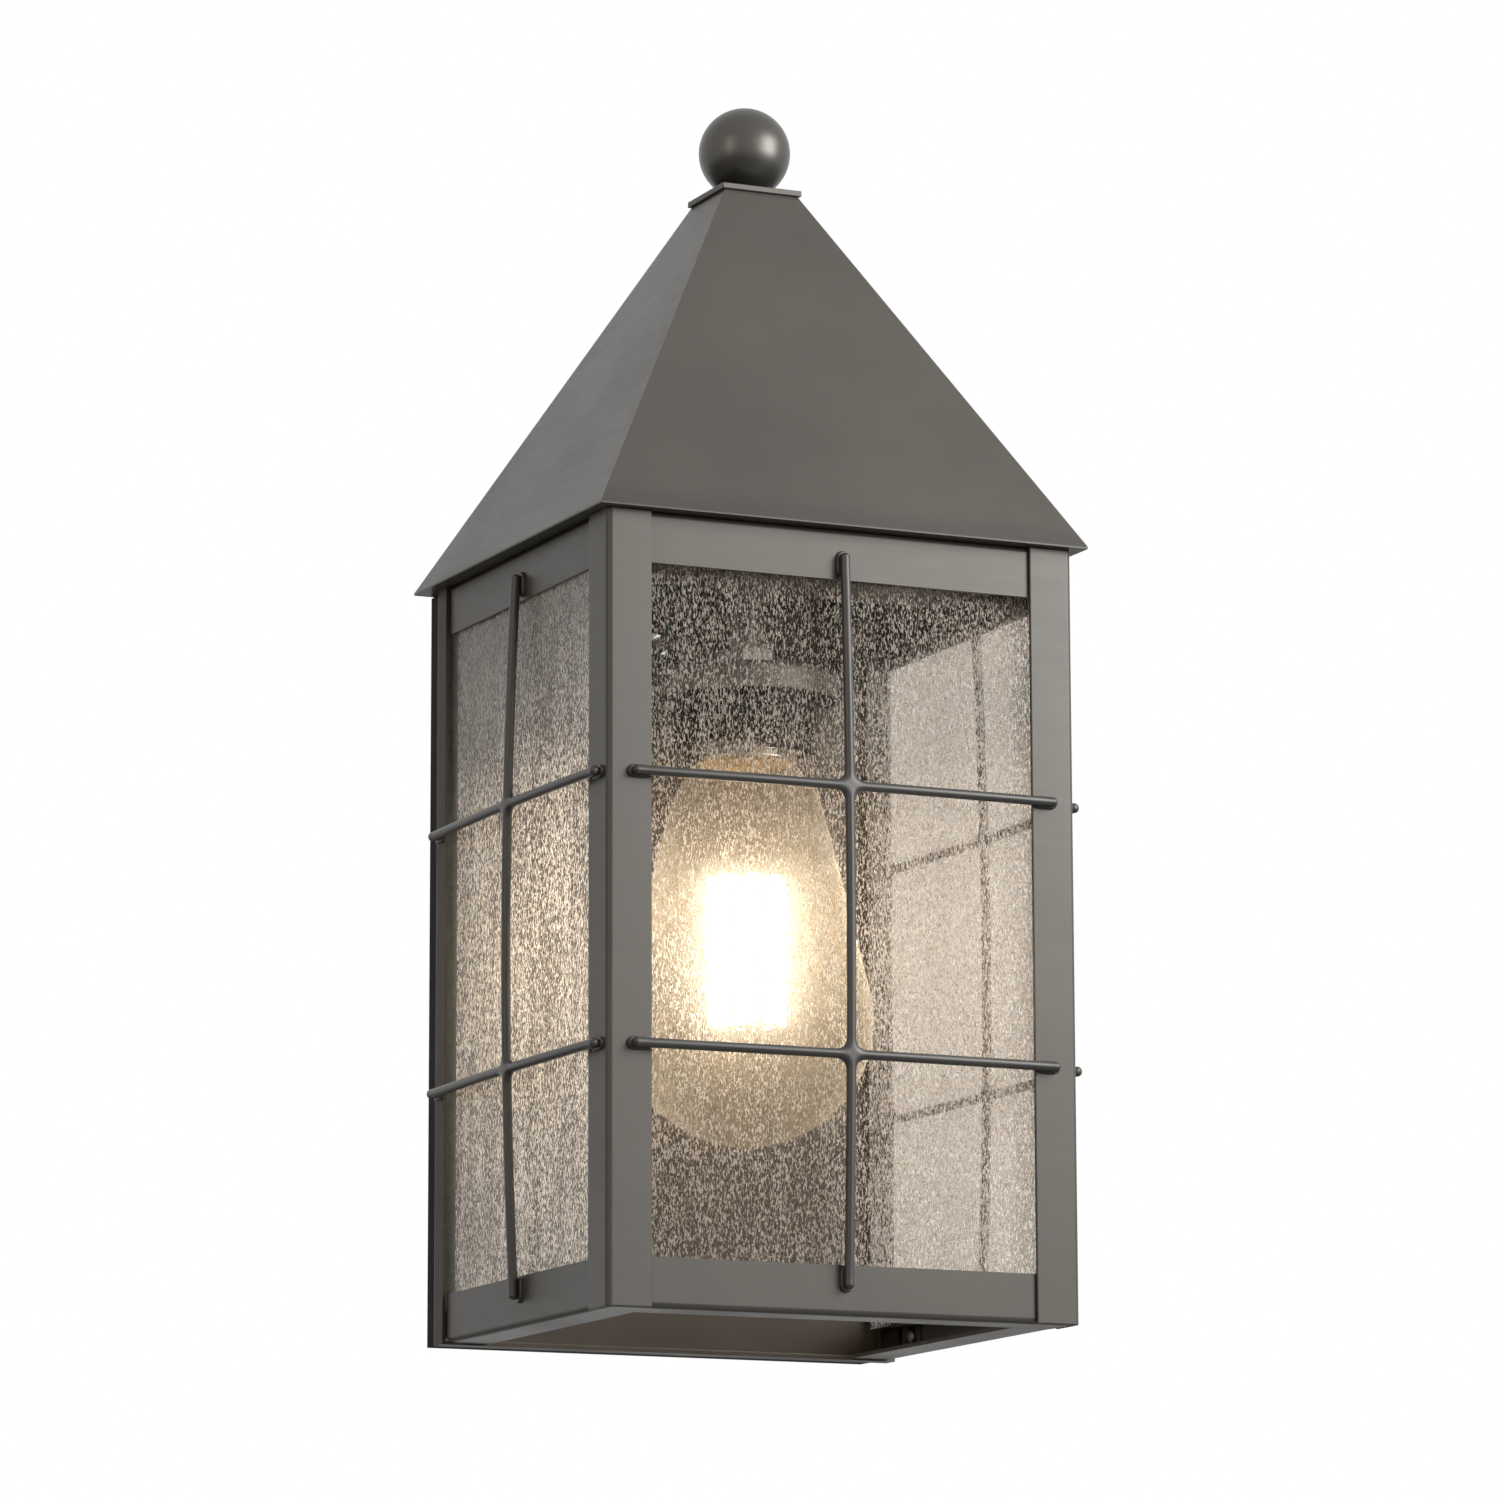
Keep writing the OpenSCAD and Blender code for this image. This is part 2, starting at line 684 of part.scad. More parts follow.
// A shallow spun cup: straight skirt, low cone, flat top for the lock nut
module holder_cup() color(pewter) hung() on_axis(0) difference() {
    rotate_extrude() cup_outline(0);
    rotate_extrude() cup_outline(cup_t);
    translate([0, 0, cup_top - 2 * cup_t]) cylinder(r = tube_r, h = 3 * cup_t);
    for (s = [-1, 1]) translate([0, 0, cup_screw_z]) rotate([0, s * 90, 0])
        cylinder(d = cup_screw_d, h = cup_r + cut);
    for (a = lead_angles) rotate(-a) translate([lead_entry_r, 0, cup_z + cut])
        cylinder(r = lead_joint_d / 2 + hole_play, h = cup_skirt + cup_rise);
}

cup_screw_bite = 2.5;

module cup_screws() color(steel) hung() on_axis(cup_screw_z) {
    for (s = [-1, 1]) rotate([0, -s * 90, 0]) translate([0, 0, -cup_r]) {
        round_head_screw(cup_screw_d, cup_r - holder_r + cup_screw_bite, cup_screw_d * 1.5, 1.6);
    }
}

// Glazed body of the lamp holder, with a well for the lamp's tip
module lamp_holder() color(ceramic_white) hung() on_axis(0) difference() {
    rotate_extrude() polygon([
        [0, holder_z], [holder_r - holder_bevel, holder_z], [holder_r, holder_z + holder_bevel],
        [holder_r, holder_top - holder_slope_h], [holder_r - holder_slope_w, holder_top], [0, holder_top]
    ]);
    translate([0, 0, holder_z - cut]) cylinder(r = shell_r, h = shell_z1 - holder_z + cut);
    translate([0, 0, holder_z]) cylinder(r = well_r, h = well_top - holder_z);
    for (s = [-1, 1]) translate([s * (holder_r - cup_screw_bite), 0, cup_screw_z]) rotate([0, s * 90, 0])
        cylinder(d = cup_screw_d, h = cup_screw_bite + cut);
    for (a = lead_angles) rotate(-a) translate([holder_r - lead_bite, 0, lead_terminal_z])
        rotate([0, 90, 0]) cylinder(d = lead_d, h = lead_bite + cut, $fn = 48);
}

module screw_shell() color(brass) hung() on_axis(holder_z + shell_inset) difference() {
    cylinder(r = shell_r, h = shell_l);
    translate([0, 0, -cut]) cylinder(d = shell_bore, h = shell_l + 2 * cut);
}

contact_w = 6;

// A flat tongue under the well's top, with a raised pip over the lamp's tip
module centre_contact() color(brass) hung() on_axis(well_top - contact_t) intersection() {
    cylinder(r = well_r, h = contact_t);
    translate([-well_r, -contact_w / 2, 0]) cube([2 * well_r, contact_w, contact_t]);
}

// A straight run of lead between two points
module lead_run(a, b, d) {
    v = b - a;
    translate(a) rotate([0, acos(v.z / norm(v)), atan2(v.y, v.x)]) cylinder(d = d, h = norm(v), $fn = 48);
}

// A lead through a list of points, with round joints at its corners
module lead(points) {
    for (i = [0 : len(points) - 2]) lead_run(points[i], points[i + 1], lead_d);
    for (i = [1 : len(points) - 2]) translate(points[i]) sphere(d = lead_joint_d, $fn = 48);
}

// Depth of the leads behind the wall plate, and the side steps that keep them apart
lead_lane = plate_depth / 2;
lead_step = 2.2;
lead_turn_z = box_z + bar_w / 2 + 6;
lead_joint_d = lead_d + 0.15;
lead_bite = 2;
lead_terminal_z = cup_z + 3;

// The way of a lead from the outlet box to the front of the grommet
function lead_start(side) = let (
    lane = side == 0 ? lead_r + 1.3 : lead_lane,
    bore_z = grommet_z + (side == 0 ? 1.2 : -0.8),
    bore_x = side * lead_step / 2
) [
    [side * 3 * lead_step, -lead_r, lead_turn_z],
    [side * 3 * lead_step, -lane, lead_turn_z + 5],
    [bore_x, -lane, bore_z],
    [bore_x, -tray_floor - 4, bore_z]
];

// The rest of the way, over to the cup, down through it, and in at the holder's side
function lead_end(angle) = [
    lead_at(angle, lead_entry_r, grommet_z - 6),
    lead_at(angle, lead_entry_r, lead_terminal_z),
    lead_at(angle, holder_r - lead_bite, lead_terminal_z)
];

// A point at an angle and a radius round the lamp's axis
function lead_at(angle, r, z) = [r * cos(angle), -axis_d - r * sin(angle), z];

module live_lead() color([0.15, 0.15, 0.15]) hung() lead(concat(lead_start(1), lead_end(lead_angles[1])));

module neutral_lead() color([0.85, 0.85, 0.83]) hung()
    lead(concat(lead_start(-1), lead_end(lead_angles[0])));

module earth_lead() color([0.3, 0.55, 0.3]) hung() lead(concat(lead_start(0), [
    [strap_earth_x / 2, -axis_d + strap_w, grommet_z + 0.5],
    [strap_earth_x, -axis_d + earth_head_d / 2 + lead_r, strap_z - lead_joint_d / 2]
]));

// A rubber ring with a lip on each side of the metal
module lead_grommet() color([0.12, 0.12, 0.12]) hung() {
    y0 = tray_back - back_t;
    translate([0, -y0 + grommet_lip, grommet_z]) rotate([90, 0, 0]) difference() {
        union() {
            cylinder(d = grommet_d, h = grommet_neck + 2 * grommet_lip);
            cylinder(d = grommet_d + 3, h = grommet_lip);
            translate([0, 0, grommet_lip + grommet_neck]) cylinder(d = grommet_d + 3, h = grommet_lip);
        }
        translate([0, 0, -cut]) cylinder(r = grommet_bore_r, h = grommet_neck + 2 * grommet_lip + 2 * cut);
    }
}

module glass_front() color(clear_glass) hung() {
    w = 2 * (side_pane_back - pane_play);
    translate([-w / 2, -pane_face, pane_z0]) cube([w, pane_t, pane_z1 - pane_z0]);
}

side_pane_y0 = tray_front - 4;

module side_pane() {
    translate([-side_pane_face, -pane_face, pane_z0])
        cube([pane_t, pane_face - side_pane_y0, pane_z1 - pane_z0]);
}

module glass_left() color(clear_glass) hung() side_pane();

module glass_right() color(clear_glass) hung() mirror([1, 0, 0]) side_pane();

// One clip against a rail's inner face: a foot, a step under the pane's edge, a lap over it
module clip() {
    z1 = clip_foot + clip_t;
    translate([-clip_l / 2, 0, 0]) rotate([90, 0, 90]) linear_extrude(clip_l) polygon([
        [0, 0], [clip_t, 0], [clip_t, clip_foot], [clip_step + clip_t, clip_foot],
        [clip_step + clip_t, z1 + clip_lap], [clip_step, z1 + clip_lap], [clip_step, z1], [0, z1]
    ]);
}

// Places children at each clip, facing -Y, on one pair of rails
module at_clips(places) {
    for (x = places) translate([x, rail_t, 0]) {
        translate([0, 0, clip_edge]) children();
        translate([0, 0, cage_h - clip_edge]) mirror([0, 0, 1]) children();
    }
}

// Places children at the clips of all three panes
module at_all_clips() {
    translate([0, -rail_face, 0]) at_clips([-front_clip_x, front_clip_x]) children();
    for (s = [0, 1]) mirror([s, 0, 0]) on_left() at_clips([-side_clip_x, side_clip_x]) children();
}

module glass_clips() color(steel) hung() at_all_clips() difference() {
    clip();
    translate([0, -cut, clip_screw_z - clip_edge]) rotate([-90, 0, 0])
        cylinder(d = clip_screw_d + 2 * hole_play, h = clip_t + 2 * cut);
}

module clip_screws() color(steel) hung() at_all_clips() {
    translate([0, clip_t, clip_screw_z - clip_edge]) rotate([90, 0, 0])
        round_head_screw(clip_screw_d, clip_t + clip_bite, clip_screw_d * 1.7, 1.6);
}

// A bowed wire along X, bulging to -Y from ends at y = 0
module bowed_wire(length, bow) {
    r = (pow(length / 2, 2) + pow(bow, 2)) / (2 * bow);
    half_angle = asin(length / (2 * r));
    translate([0, r - bow, 0]) rotate([0, 0, -90 - half_angle])
        rotate_extrude(angle = 2 * half_angle, $fn = 720) translate([r, 0]) circle(d = wire_d, $fn = 32);
}

// A wire with the two round-ended pads that it is welded to, on the face at y = 0
module padded_wire(length, bow) {
    translate([0, -wire_off, 0]) bowed_wire(length - 2 * pad_margin, bow);
    for (s = [-1, 1]) translate([s * (length - pad_l) / 2, 0, 0]) rotate([90, 0, 0]) linear_extrude(pad_t) {
        square([pad_l - pad_w, pad_w], center = true);
        for (e = [-1, 1]) translate([e * (pad_l - pad_w) / 2, 0]) circle(d = pad_w);
    }
}

wire_off = pad_t + wire_d / 2 - 0.2;
pad_margin = 0.8;
weld_step = 0.15;
upright_l = cage_h - 2 * upright_end + 2 * pad_margin;

// How far the upright stands out from the posts' faces at a height
function upright_out(z) = wire_bow * (1 - pow((z - cage_h / 2) / (upright_l / 2 - pad_margin), 2)) - post_t;

// A grid on the face at y = 0: the upright stands on the rails, set back by the posts' thickness,
// and the two cross wires stand on the posts and bow out to meet it
module grid(cross_l) {
    translate([0, post_t, cage_h / 2]) rotate([0, 90, 0]) padded_wire(upright_l, wire_bow);
    for (z = [cross_low, cross_high]) translate([0, 0, z])
        padded_wire(cross_l, upright_out(z) - weld_step);
}

module grid_front() color(pewter) hung() translate([0, -cage_d, 0])
    grid(cage_w - 2 * cross_end + 2 * pad_margin);

side_cross_l = cage_d - side_end_front - side_end_back;
side_cross_mid = (cage_d - side_end_front + side_end_back) / 2;

module side_grid() {
    translate([-half_w, -side_cross_mid, 0]) rotate([0, 0, -90]) grid(side_cross_l);
}

module grid_left() color(pewter) hung() side_grid();

module grid_right() color(pewter) hung() mirror([1, 0, 0]) side_grid();

// The glass's outline from its axis out: a ball, a cone up to the shoulder, and the neck
module bulb_outline(t) {
    r = bulb_r - t;
    intersection() {
        translate([0, bulb_ball_z]) circle(r = r, $fn = 128);
        translate([0, bulb_ball_z - bulb_d]) square([bulb_d, 2 * bulb_d]);
    }
    tilt = asin((bulb_r - shoulder_d / 2) / (shoulder_z - bulb_ball_z));
    polygon([
        [0, bulb_ball_z + r * sin(tilt)], [r * cos(tilt), bulb_ball_z + r * sin(tilt)],
        [shoulder_d / 2 - t, shoulder_z], [neck_d / 2 - t, bulb_cap_z], [0, bulb_cap_z]
    ]);
}

module bulb_glass() color(clear_glass) hung() on_axis(0) {
    difference() {
        rotate_extrude() bulb_outline(0);
        rotate_extrude() bulb_outline(bulb_t);
    }
    translate([0, 0, bulb_cap_z]) difference() {
        cylinder(r = cap_bore_r, h = neck_lap);
        translate([0, 0, -cut]) cylinder(r = cap_bore_r - bulb_t, h = neck_lap + 2 * cut);
    }
}

neck_lap = 5;
thread_depth = 0.9;
cap_wall = 0.5;
cap_bore_r = thread_d / 2 - thread_depth - cap_wall;
thread_turns = floor((bulb_cap_h - 1.5) / thread_pitch);

// A rolled cap: a plain rim, then one swelling for each turn of the thread
module bulb_cap() color(brass) hung() on_axis(bulb_cap_z) difference() {
    union() {
        cylinder(r = thread_d / 2 - thread_depth, h = bulb_cap_h);
        cylinder(r = thread_d / 2, h = 1);
        for (i = [0 : thread_turns - 1]) translate([0, 0, 1.5 + (i + 0.5) * thread_pitch]) rotate_extrude()
            translate([thread_d / 2 - thread_depth, 0]) circle(r = thread_depth, $fn = 24);
    }
    translate([0, 0, -cut]) cylinder(r = cap_bore_r, h = bulb_cap_h - cap_wall + cut);
    translate([0, 0, -cut]) cylinder(r = insulator_top_r, h = bulb_cap_h + 2 * cut);
}

insulator_top_r = 5;

module bulb_insulator() color([0.12, 0.12, 0.13]) hung() on_axis(insulator_z) rotate_extrude() polygon([
    [0, -cap_wall], [insulator_top_r, -cap_wall], [insulator_top_r, 0], [thread_d / 2 - 2, 0],
    [insulator_top_r, insulator_h], [0, insulator_h]
]);

tip_dome_r = 10;

module bulb_contact() color(steel) hung() on_axis(bulb_tip_z) intersection() {
    cylinder(r = insulator_top_r - 0.6, h = bulb_tip_h);
    translate([0, 0, bulb_tip_h - tip_dome_r]) sphere(r = tip_dome_r, $fn = 200);
}

stem_foot_r = 6;
stem_r = 2.2;
stem_flare_low = 12;
stem_flare_high = 4;
stem_step = 1;
stem_over = 3;
mount_z0 = strand_z - strand_l / 2;
mount_z1 = strand_z + strand_l / 2;

// A flared glass stem that closes the neck and carries the strands
module bulb_stem() color(clear_glass) hung() on_axis(0) {
    rotate_extrude() polygon([
        [0, bulb_cap_z + neck_lap], [cap_bore_r - bulb_t, bulb_cap_z + neck_lap],
        [cap_bore_r - bulb_t, bulb_cap_z + neck_lap - stem_step],
        [stem_foot_r, bulb_cap_z - stem_flare_high], [stem_r, bulb_cap_z - stem_flare_low],
        [stem_r, mount_z1 + stem_over], [0, mount_z1 + stem_over]
    ]);
}

support_d = 0.8;

// Wires from the stem out to both ends of every strand
module bulb_supports() color(steel) hung() on_axis(0) {
    translate([0, 0, mount_z0 - 1]) cylinder(d = support_d * 1.6, h = strand_l + 4, $fn = 24);
    for (i = [0 : strands - 1]) rotate(strand_turn + 360 / strands * i) for (z = [mount_z0, mount_z1])
        translate([0, 0, z]) rotate([0, 90, 0]) cylinder(d = support_d, h = strand_ring, $fn = 24);
}

module bulb_strands() color([1, 0.85, 0.45]) hung() on_axis(0) {
    for (i = [0 : strands - 1]) rotate(strand_turn + 360 / strands * i)
        translate([strand_ring, 0, mount_z0 + support_d / 2]) cylinder(d = strand_d, h = strand_l - support_d, $fn = 24);
}

crossbar();
crossbar_stud();
stud_lock_nut();
earth_screws();
wall_plate();
back_tray();
cap_nut();
post_left();
post_right();
top_rail_front();
top_rail_left();
top_rail_right();
bottom_rail_front();
bottom_rail_left();
bottom_rail_right();
tray_tabs();
roof_shell();
roof_cap_plate();
ball_finial();
hanger_tube();
tube_nuts();
holder_strap();
strap_screws();
strap_nuts();
holder_cup();
cup_screws();
lamp_holder();
screw_shell();
centre_contact();
live_lead();
neutral_lead();
earth_lead();
lead_grommet();
glass_front();
glass_left();
glass_right();
glass_clips();
clip_screws();
grid_front();
grid_left();
grid_right();
bulb_glass();
bulb_cap();
bulb_insulator();
bulb_contact();
bulb_stem();
bulb_supports();
bulb_strands();
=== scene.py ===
import bpy, bmesh, itertools, math
from mathutils import Matrix, Vector


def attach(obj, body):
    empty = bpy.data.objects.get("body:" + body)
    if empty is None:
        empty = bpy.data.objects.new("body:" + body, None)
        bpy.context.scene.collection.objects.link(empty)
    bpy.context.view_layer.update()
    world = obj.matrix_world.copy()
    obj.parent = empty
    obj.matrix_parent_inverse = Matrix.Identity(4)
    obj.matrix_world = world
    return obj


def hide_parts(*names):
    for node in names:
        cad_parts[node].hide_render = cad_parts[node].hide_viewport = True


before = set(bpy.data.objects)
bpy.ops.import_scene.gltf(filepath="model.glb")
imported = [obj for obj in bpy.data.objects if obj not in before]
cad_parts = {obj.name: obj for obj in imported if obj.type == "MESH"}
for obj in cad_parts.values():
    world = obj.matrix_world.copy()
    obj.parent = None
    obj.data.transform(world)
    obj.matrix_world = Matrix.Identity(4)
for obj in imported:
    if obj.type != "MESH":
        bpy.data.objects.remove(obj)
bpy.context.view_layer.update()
scene = bpy.context.scene
scene.view_settings.view_transform = "Standard"

# Shapes are written in millimetres of the cage's own frame: across, out from the wall (negative)
# and above the cage's bottom. piece() turns them into metres of the row frame.
MM = 0.001
BOX_Z = 98.0      # the outlet box's centre above the bottom of the cage
AXIS = 62.2       # the lamp's axis, out from the wall
CAGE_H = 194.8
SIDES = (-1, 1)
WHITE = (1.0, 1.0, 1.0)


def at(x, y, z):
    """A point of the cage's frame, in the row frame."""
    return Vector((x * MM, y * MM, (z - BOX_Z) * MM))


# ---------------------------------------------------------------- camera

def camera():
    """The photograph's viewpoint, in metres and radians, solved from the cage's corners."""
    turn, pitch, roll = -0.43244, 0.18209, -0.00306
    place = (-0.6852, -1.5490, -0.2506)
    lens, sensor = 157.35, 36
    ahead = Vector((-math.sin(turn), math.cos(turn), 0))
    up = Vector((0, 0, 1))
    look = ahead * math.cos(pitch) + up * math.sin(pitch)
    tall = -ahead * math.sin(pitch) + up * math.cos(pitch)
    side = Vector((math.cos(turn), math.sin(turn), 0))
    right = side * math.cos(roll) + tall * math.sin(roll)
    top = -side * math.sin(roll) + tall * math.cos(roll)
    data = bpy.data.cameras.new("camera")
    data.lens, data.sensor_width, data.sensor_height = lens, sensor, sensor
    data.sensor_fit = "AUTO"
    data.clip_start, data.clip_end = 0.05, 20
    cam = bpy.data.objects.new("camera", data)
    scene.collection.objects.link(cam)
    m = Matrix((right, top, -look)).transposed().to_4x4()
    m.translation = Vector(place)
    cam.matrix_world = m
    scene.camera = cam


camera()


# ---------------------------------------------------------------- materials

class Mat:
    """One procedural material; its textures take the object's own coordinates, in metres."""

    def __init__(self, name):
        self.mat = bpy.data.materials.new(name)
        self.mat.use_nodes = True
        self.tree = self.mat.node_tree
        self.tree.nodes.clear()
        self.out = self.node("ShaderNodeOutputMaterial")
        self.coord = self.node("ShaderNodeTexCoord").outputs["Object"]

    def node(self, kind, **settings):
        n = self.tree.nodes.new(kind)
        for k, v in settings.items():
            setattr(n, k, v)
        return n

    def put(self, socket, value):
        if isinstance(value, bpy.types.NodeSocket):
            self.tree.links.new(value, socket)
        else:
            socket.default_value = value

    def stretch(self, sx, sy, sz):
        m = self.node("ShaderNodeMapping")
        m.inputs["Scale"].default_value = (sx, sy, sz)
        self.put(m.inputs["Vector"], self.coord)
        return m.outputs["Vector"]

    def noise(self, scale, detail, rough, vector=None, distortion=0.0):
        n = self.node("ShaderNodeTexNoise")
        self.put(n.inputs["Vector"], vector or self.coord)
        n.inputs["Scale"].default_value = scale
        n.inputs["Detail"].default_value = detail
        n.inputs["Roughness"].default_value = rough
        n.inputs["Distortion"].default_value = distortion
        return n.outputs["Fac"]

    def ramp(self, fac, *stops):
        """stops hold (position, grey or colour)."""
        r = self.node("ShaderNodeValToRGB")
        el = r.color_ramp.elements
        while len(el) < len(stops):
            el.new(0.5)
        for e, (pos, col) in zip(el, stops):
            e.position = pos
            e.color = (col, col, col, 1) if isinstance(col, (int, float)) else (*col, 1)
        self.put(r.inputs["Fac"], fac)
        return r.outputs["Color"]

    def math(self, op, a, b, clamp=False):
        m = self.node("ShaderNodeMath", operation=op, use_clamp=clamp)
        self.put(m.inputs[0], a)
        self.put(m.inputs[1], b)
        return m.outputs[0]

    def line(self, value, gain, start):
        """start + gain × value."""
        return self.math("ADD", self.math("MULTIPLY", value, gain), start)

    def weigh(self, a, share_a, b, share_b):
        return self.line(a, share_a, self.math("MULTIPLY", b, share_b))

    def nudge(self, level, pattern, amount):
        """level, raised and lowered by a pattern whose mean is a half."""
        return self.line(self.math("SUBTRACT", pattern, 0.5), amount, level)

    def mix(self, fac, a, b):
        m = self.node("ShaderNodeMix", data_type="RGBA", blend_type="MIX")
        self.put(m.inputs[0], fac)
        self.put(m.inputs[6], (*a, 1) if isinstance(a, tuple) else a)
        self.put(m.inputs[7], (*b, 1) if isinstance(b, tuple) else b)
        return m.outputs[2]

    def part(self, vector, axis):
        split = self.node("ShaderNodeSeparateXYZ")
        self.put(split.inputs[0], vector)
        return split.outputs[axis]

    def slope(self, first, last, start=0.0, end=1.0):
        """Eases from start to end as the height above the row's origin goes from first to last."""
        s = self.node("ShaderNodeMapRange", interpolation_type="SMOOTHSTEP")
        self.put(s.inputs["Value"], self.part(self.coord, "Z"))
        limits = {"From Min": first, "From Max": last, "To Min": start, "To Max": end}
        for key, value in limits.items():
            s.inputs[key].default_value = value
        return s.outputs["Result"]

    def slant(self, power, blend=0.5, normal=None):
        """0 where the face is seen head-on, 1 where it is seen edge-on."""
        w = self.node("ShaderNodeLayerWeight")
        w.inputs["Blend"].default_value = blend
        if normal:
            self.put(w.inputs["Normal"], normal)
        return self.math("POWER", w.outputs["Facing"], power)

    def bump(self, height, strength, distance, normal=None):
        b = self.node("ShaderNodeBump")
        b.inputs["Strength"].default_value = strength
        b.inputs["Distance"].default_value = distance
        self.put(b.inputs["Height"], height)
        if normal:
            self.put(b.inputs["Normal"], normal)
        return b.outputs["Normal"]

    def shader(self, kind, **inputs):
        """kind is the node's name after ShaderNodeBsdf."""
        s = self.node("ShaderNodeBsdf" + kind)
        for k, v in inputs.items():
            k = k.replace("_", " ")
            self.put(s.inputs[k], (*v, 1) if isinstance(v, tuple) and len(v) == 3 else v)
        return s

    def lobes(self, colour, normal, *bends):
        """Refraction with each (index, roughness): an index and its inverse bend both ways."""
        return [self.shader("Refraction", Color=colour, Normal=normal, Roughness=rough, IOR=ior)
                for ior, rough in bends]

    def blend_shaders(self, fac, a, b):
        m = self.node("ShaderNodeMixShader")
        self.put(m.inputs[0], fac)
        self.put(m.inputs[1], a.outputs[0])
        self.put(m.inputs[2], b.outputs[0])
        return m

    def finish(self, shader):
        self.put(self.out.inputs["Surface"], shader.outputs[0])
        return self.mat


def scaled(colour, factor):
    return tuple(c * factor for c in colour)


def painted(name, base, metallic, rough, gloss, mottle=0.08, face_gloss=0.0, fade=None):
    """Baked dark-grey paint with a soft metallic sheen: clouds, a fine tooth and handling marks.

    face_gloss is the gloss of the faces that look straight to the front. fade is painted shade: it
    holds two heights and the share by which the paint is darkened at the first of them.
    """
    m = Mat(name)
    clouds = m.noise(26, 3, 0.55)
    tooth = m.noise(1900, 2, 0.6)
    tone = m.weigh(clouds, 0.65, tooth, 0.35)
    colour = m.ramp(tone, (0.32, scaled(base, 1 - mottle)), (0.68, scaled(base, 1 + mottle)))
    # Painted shade: the paint is darkened towards the first of fade's heights.
    if fade:
        colour = m.mix(m.slope(*fade, 0.0), colour, (0.0, 0.0, 0.0))
    streak = m.noise(1, 3, 0.6, m.stretch(60, 60, 420))
    roughness = m.ramp(m.weigh(streak, 0.4, clouds, 0.6), (0.3, rough - 0.05), (0.7, rough + 0.06))
    fine = m.bump(tooth, 0.10, 0.00012)
    normal = m.bump(m.noise(34, 2, 0.4), 0.10, 0.0012, fine)
    level = gloss
    if face_gloss:
        true_normal = m.node("ShaderNodeNewGeometry").outputs["True Normal"]
        to_front = m.math("LESS_THAN", m.part(true_normal, "Y"), -0.95)
        level = m.line(to_front, face_gloss - gloss, gloss)
    return m.finish(m.shader("Principled", Base_Color=colour, Roughness=roughness, Normal=normal,
                             Metallic=metallic, Specular_IOR_Level=level))


def metal(name, dark, light, rough, metallic=1.0):
    """Bare or plated metal: spangled tone, drawn grain."""
    m = Mat(name)
    spangle = m.noise(420, 2, 0.5, distortion=0.6)
    grain = m.noise(1, 3, 0.6, m.stretch(2600, 700, 700))
    colour = m.ramp(spangle, (0.35, dark), (0.65, light))
    roughness = m.ramp(grain, (0.3, rough - 0.06), (0.7, rough + 0.08))
    return m.finish(m.shader("Principled", Base_Color=colour, Roughness=roughness,
                             Normal=m.bump(grain, 0.06, 0.0001), Metallic=metallic))


def dull(name, dark, light, rough, scale, bump=0.1, depth=0.0002, gloss=0.5):
    """Glaze, cement, rubber, wire insulation and ground glass: fine specks and no metal."""
    m = Mat(name)
    speck = m.noise(scale, 3, 0.6)
    colour = m.ramp(speck, (0.3, dark), (0.7, light))
    cloud = m.noise(scale * 0.4, 2, 0.5)
    roughness = m.ramp(cloud, (0.3, rough - 0.05), (0.7, rough + 0.05))
    return m.finish(m.shader("Principled", Base_Color=colour, Roughness=roughness,
                             Normal=m.bump(speck, bump, depth), Specular_IOR_Level=gloss))


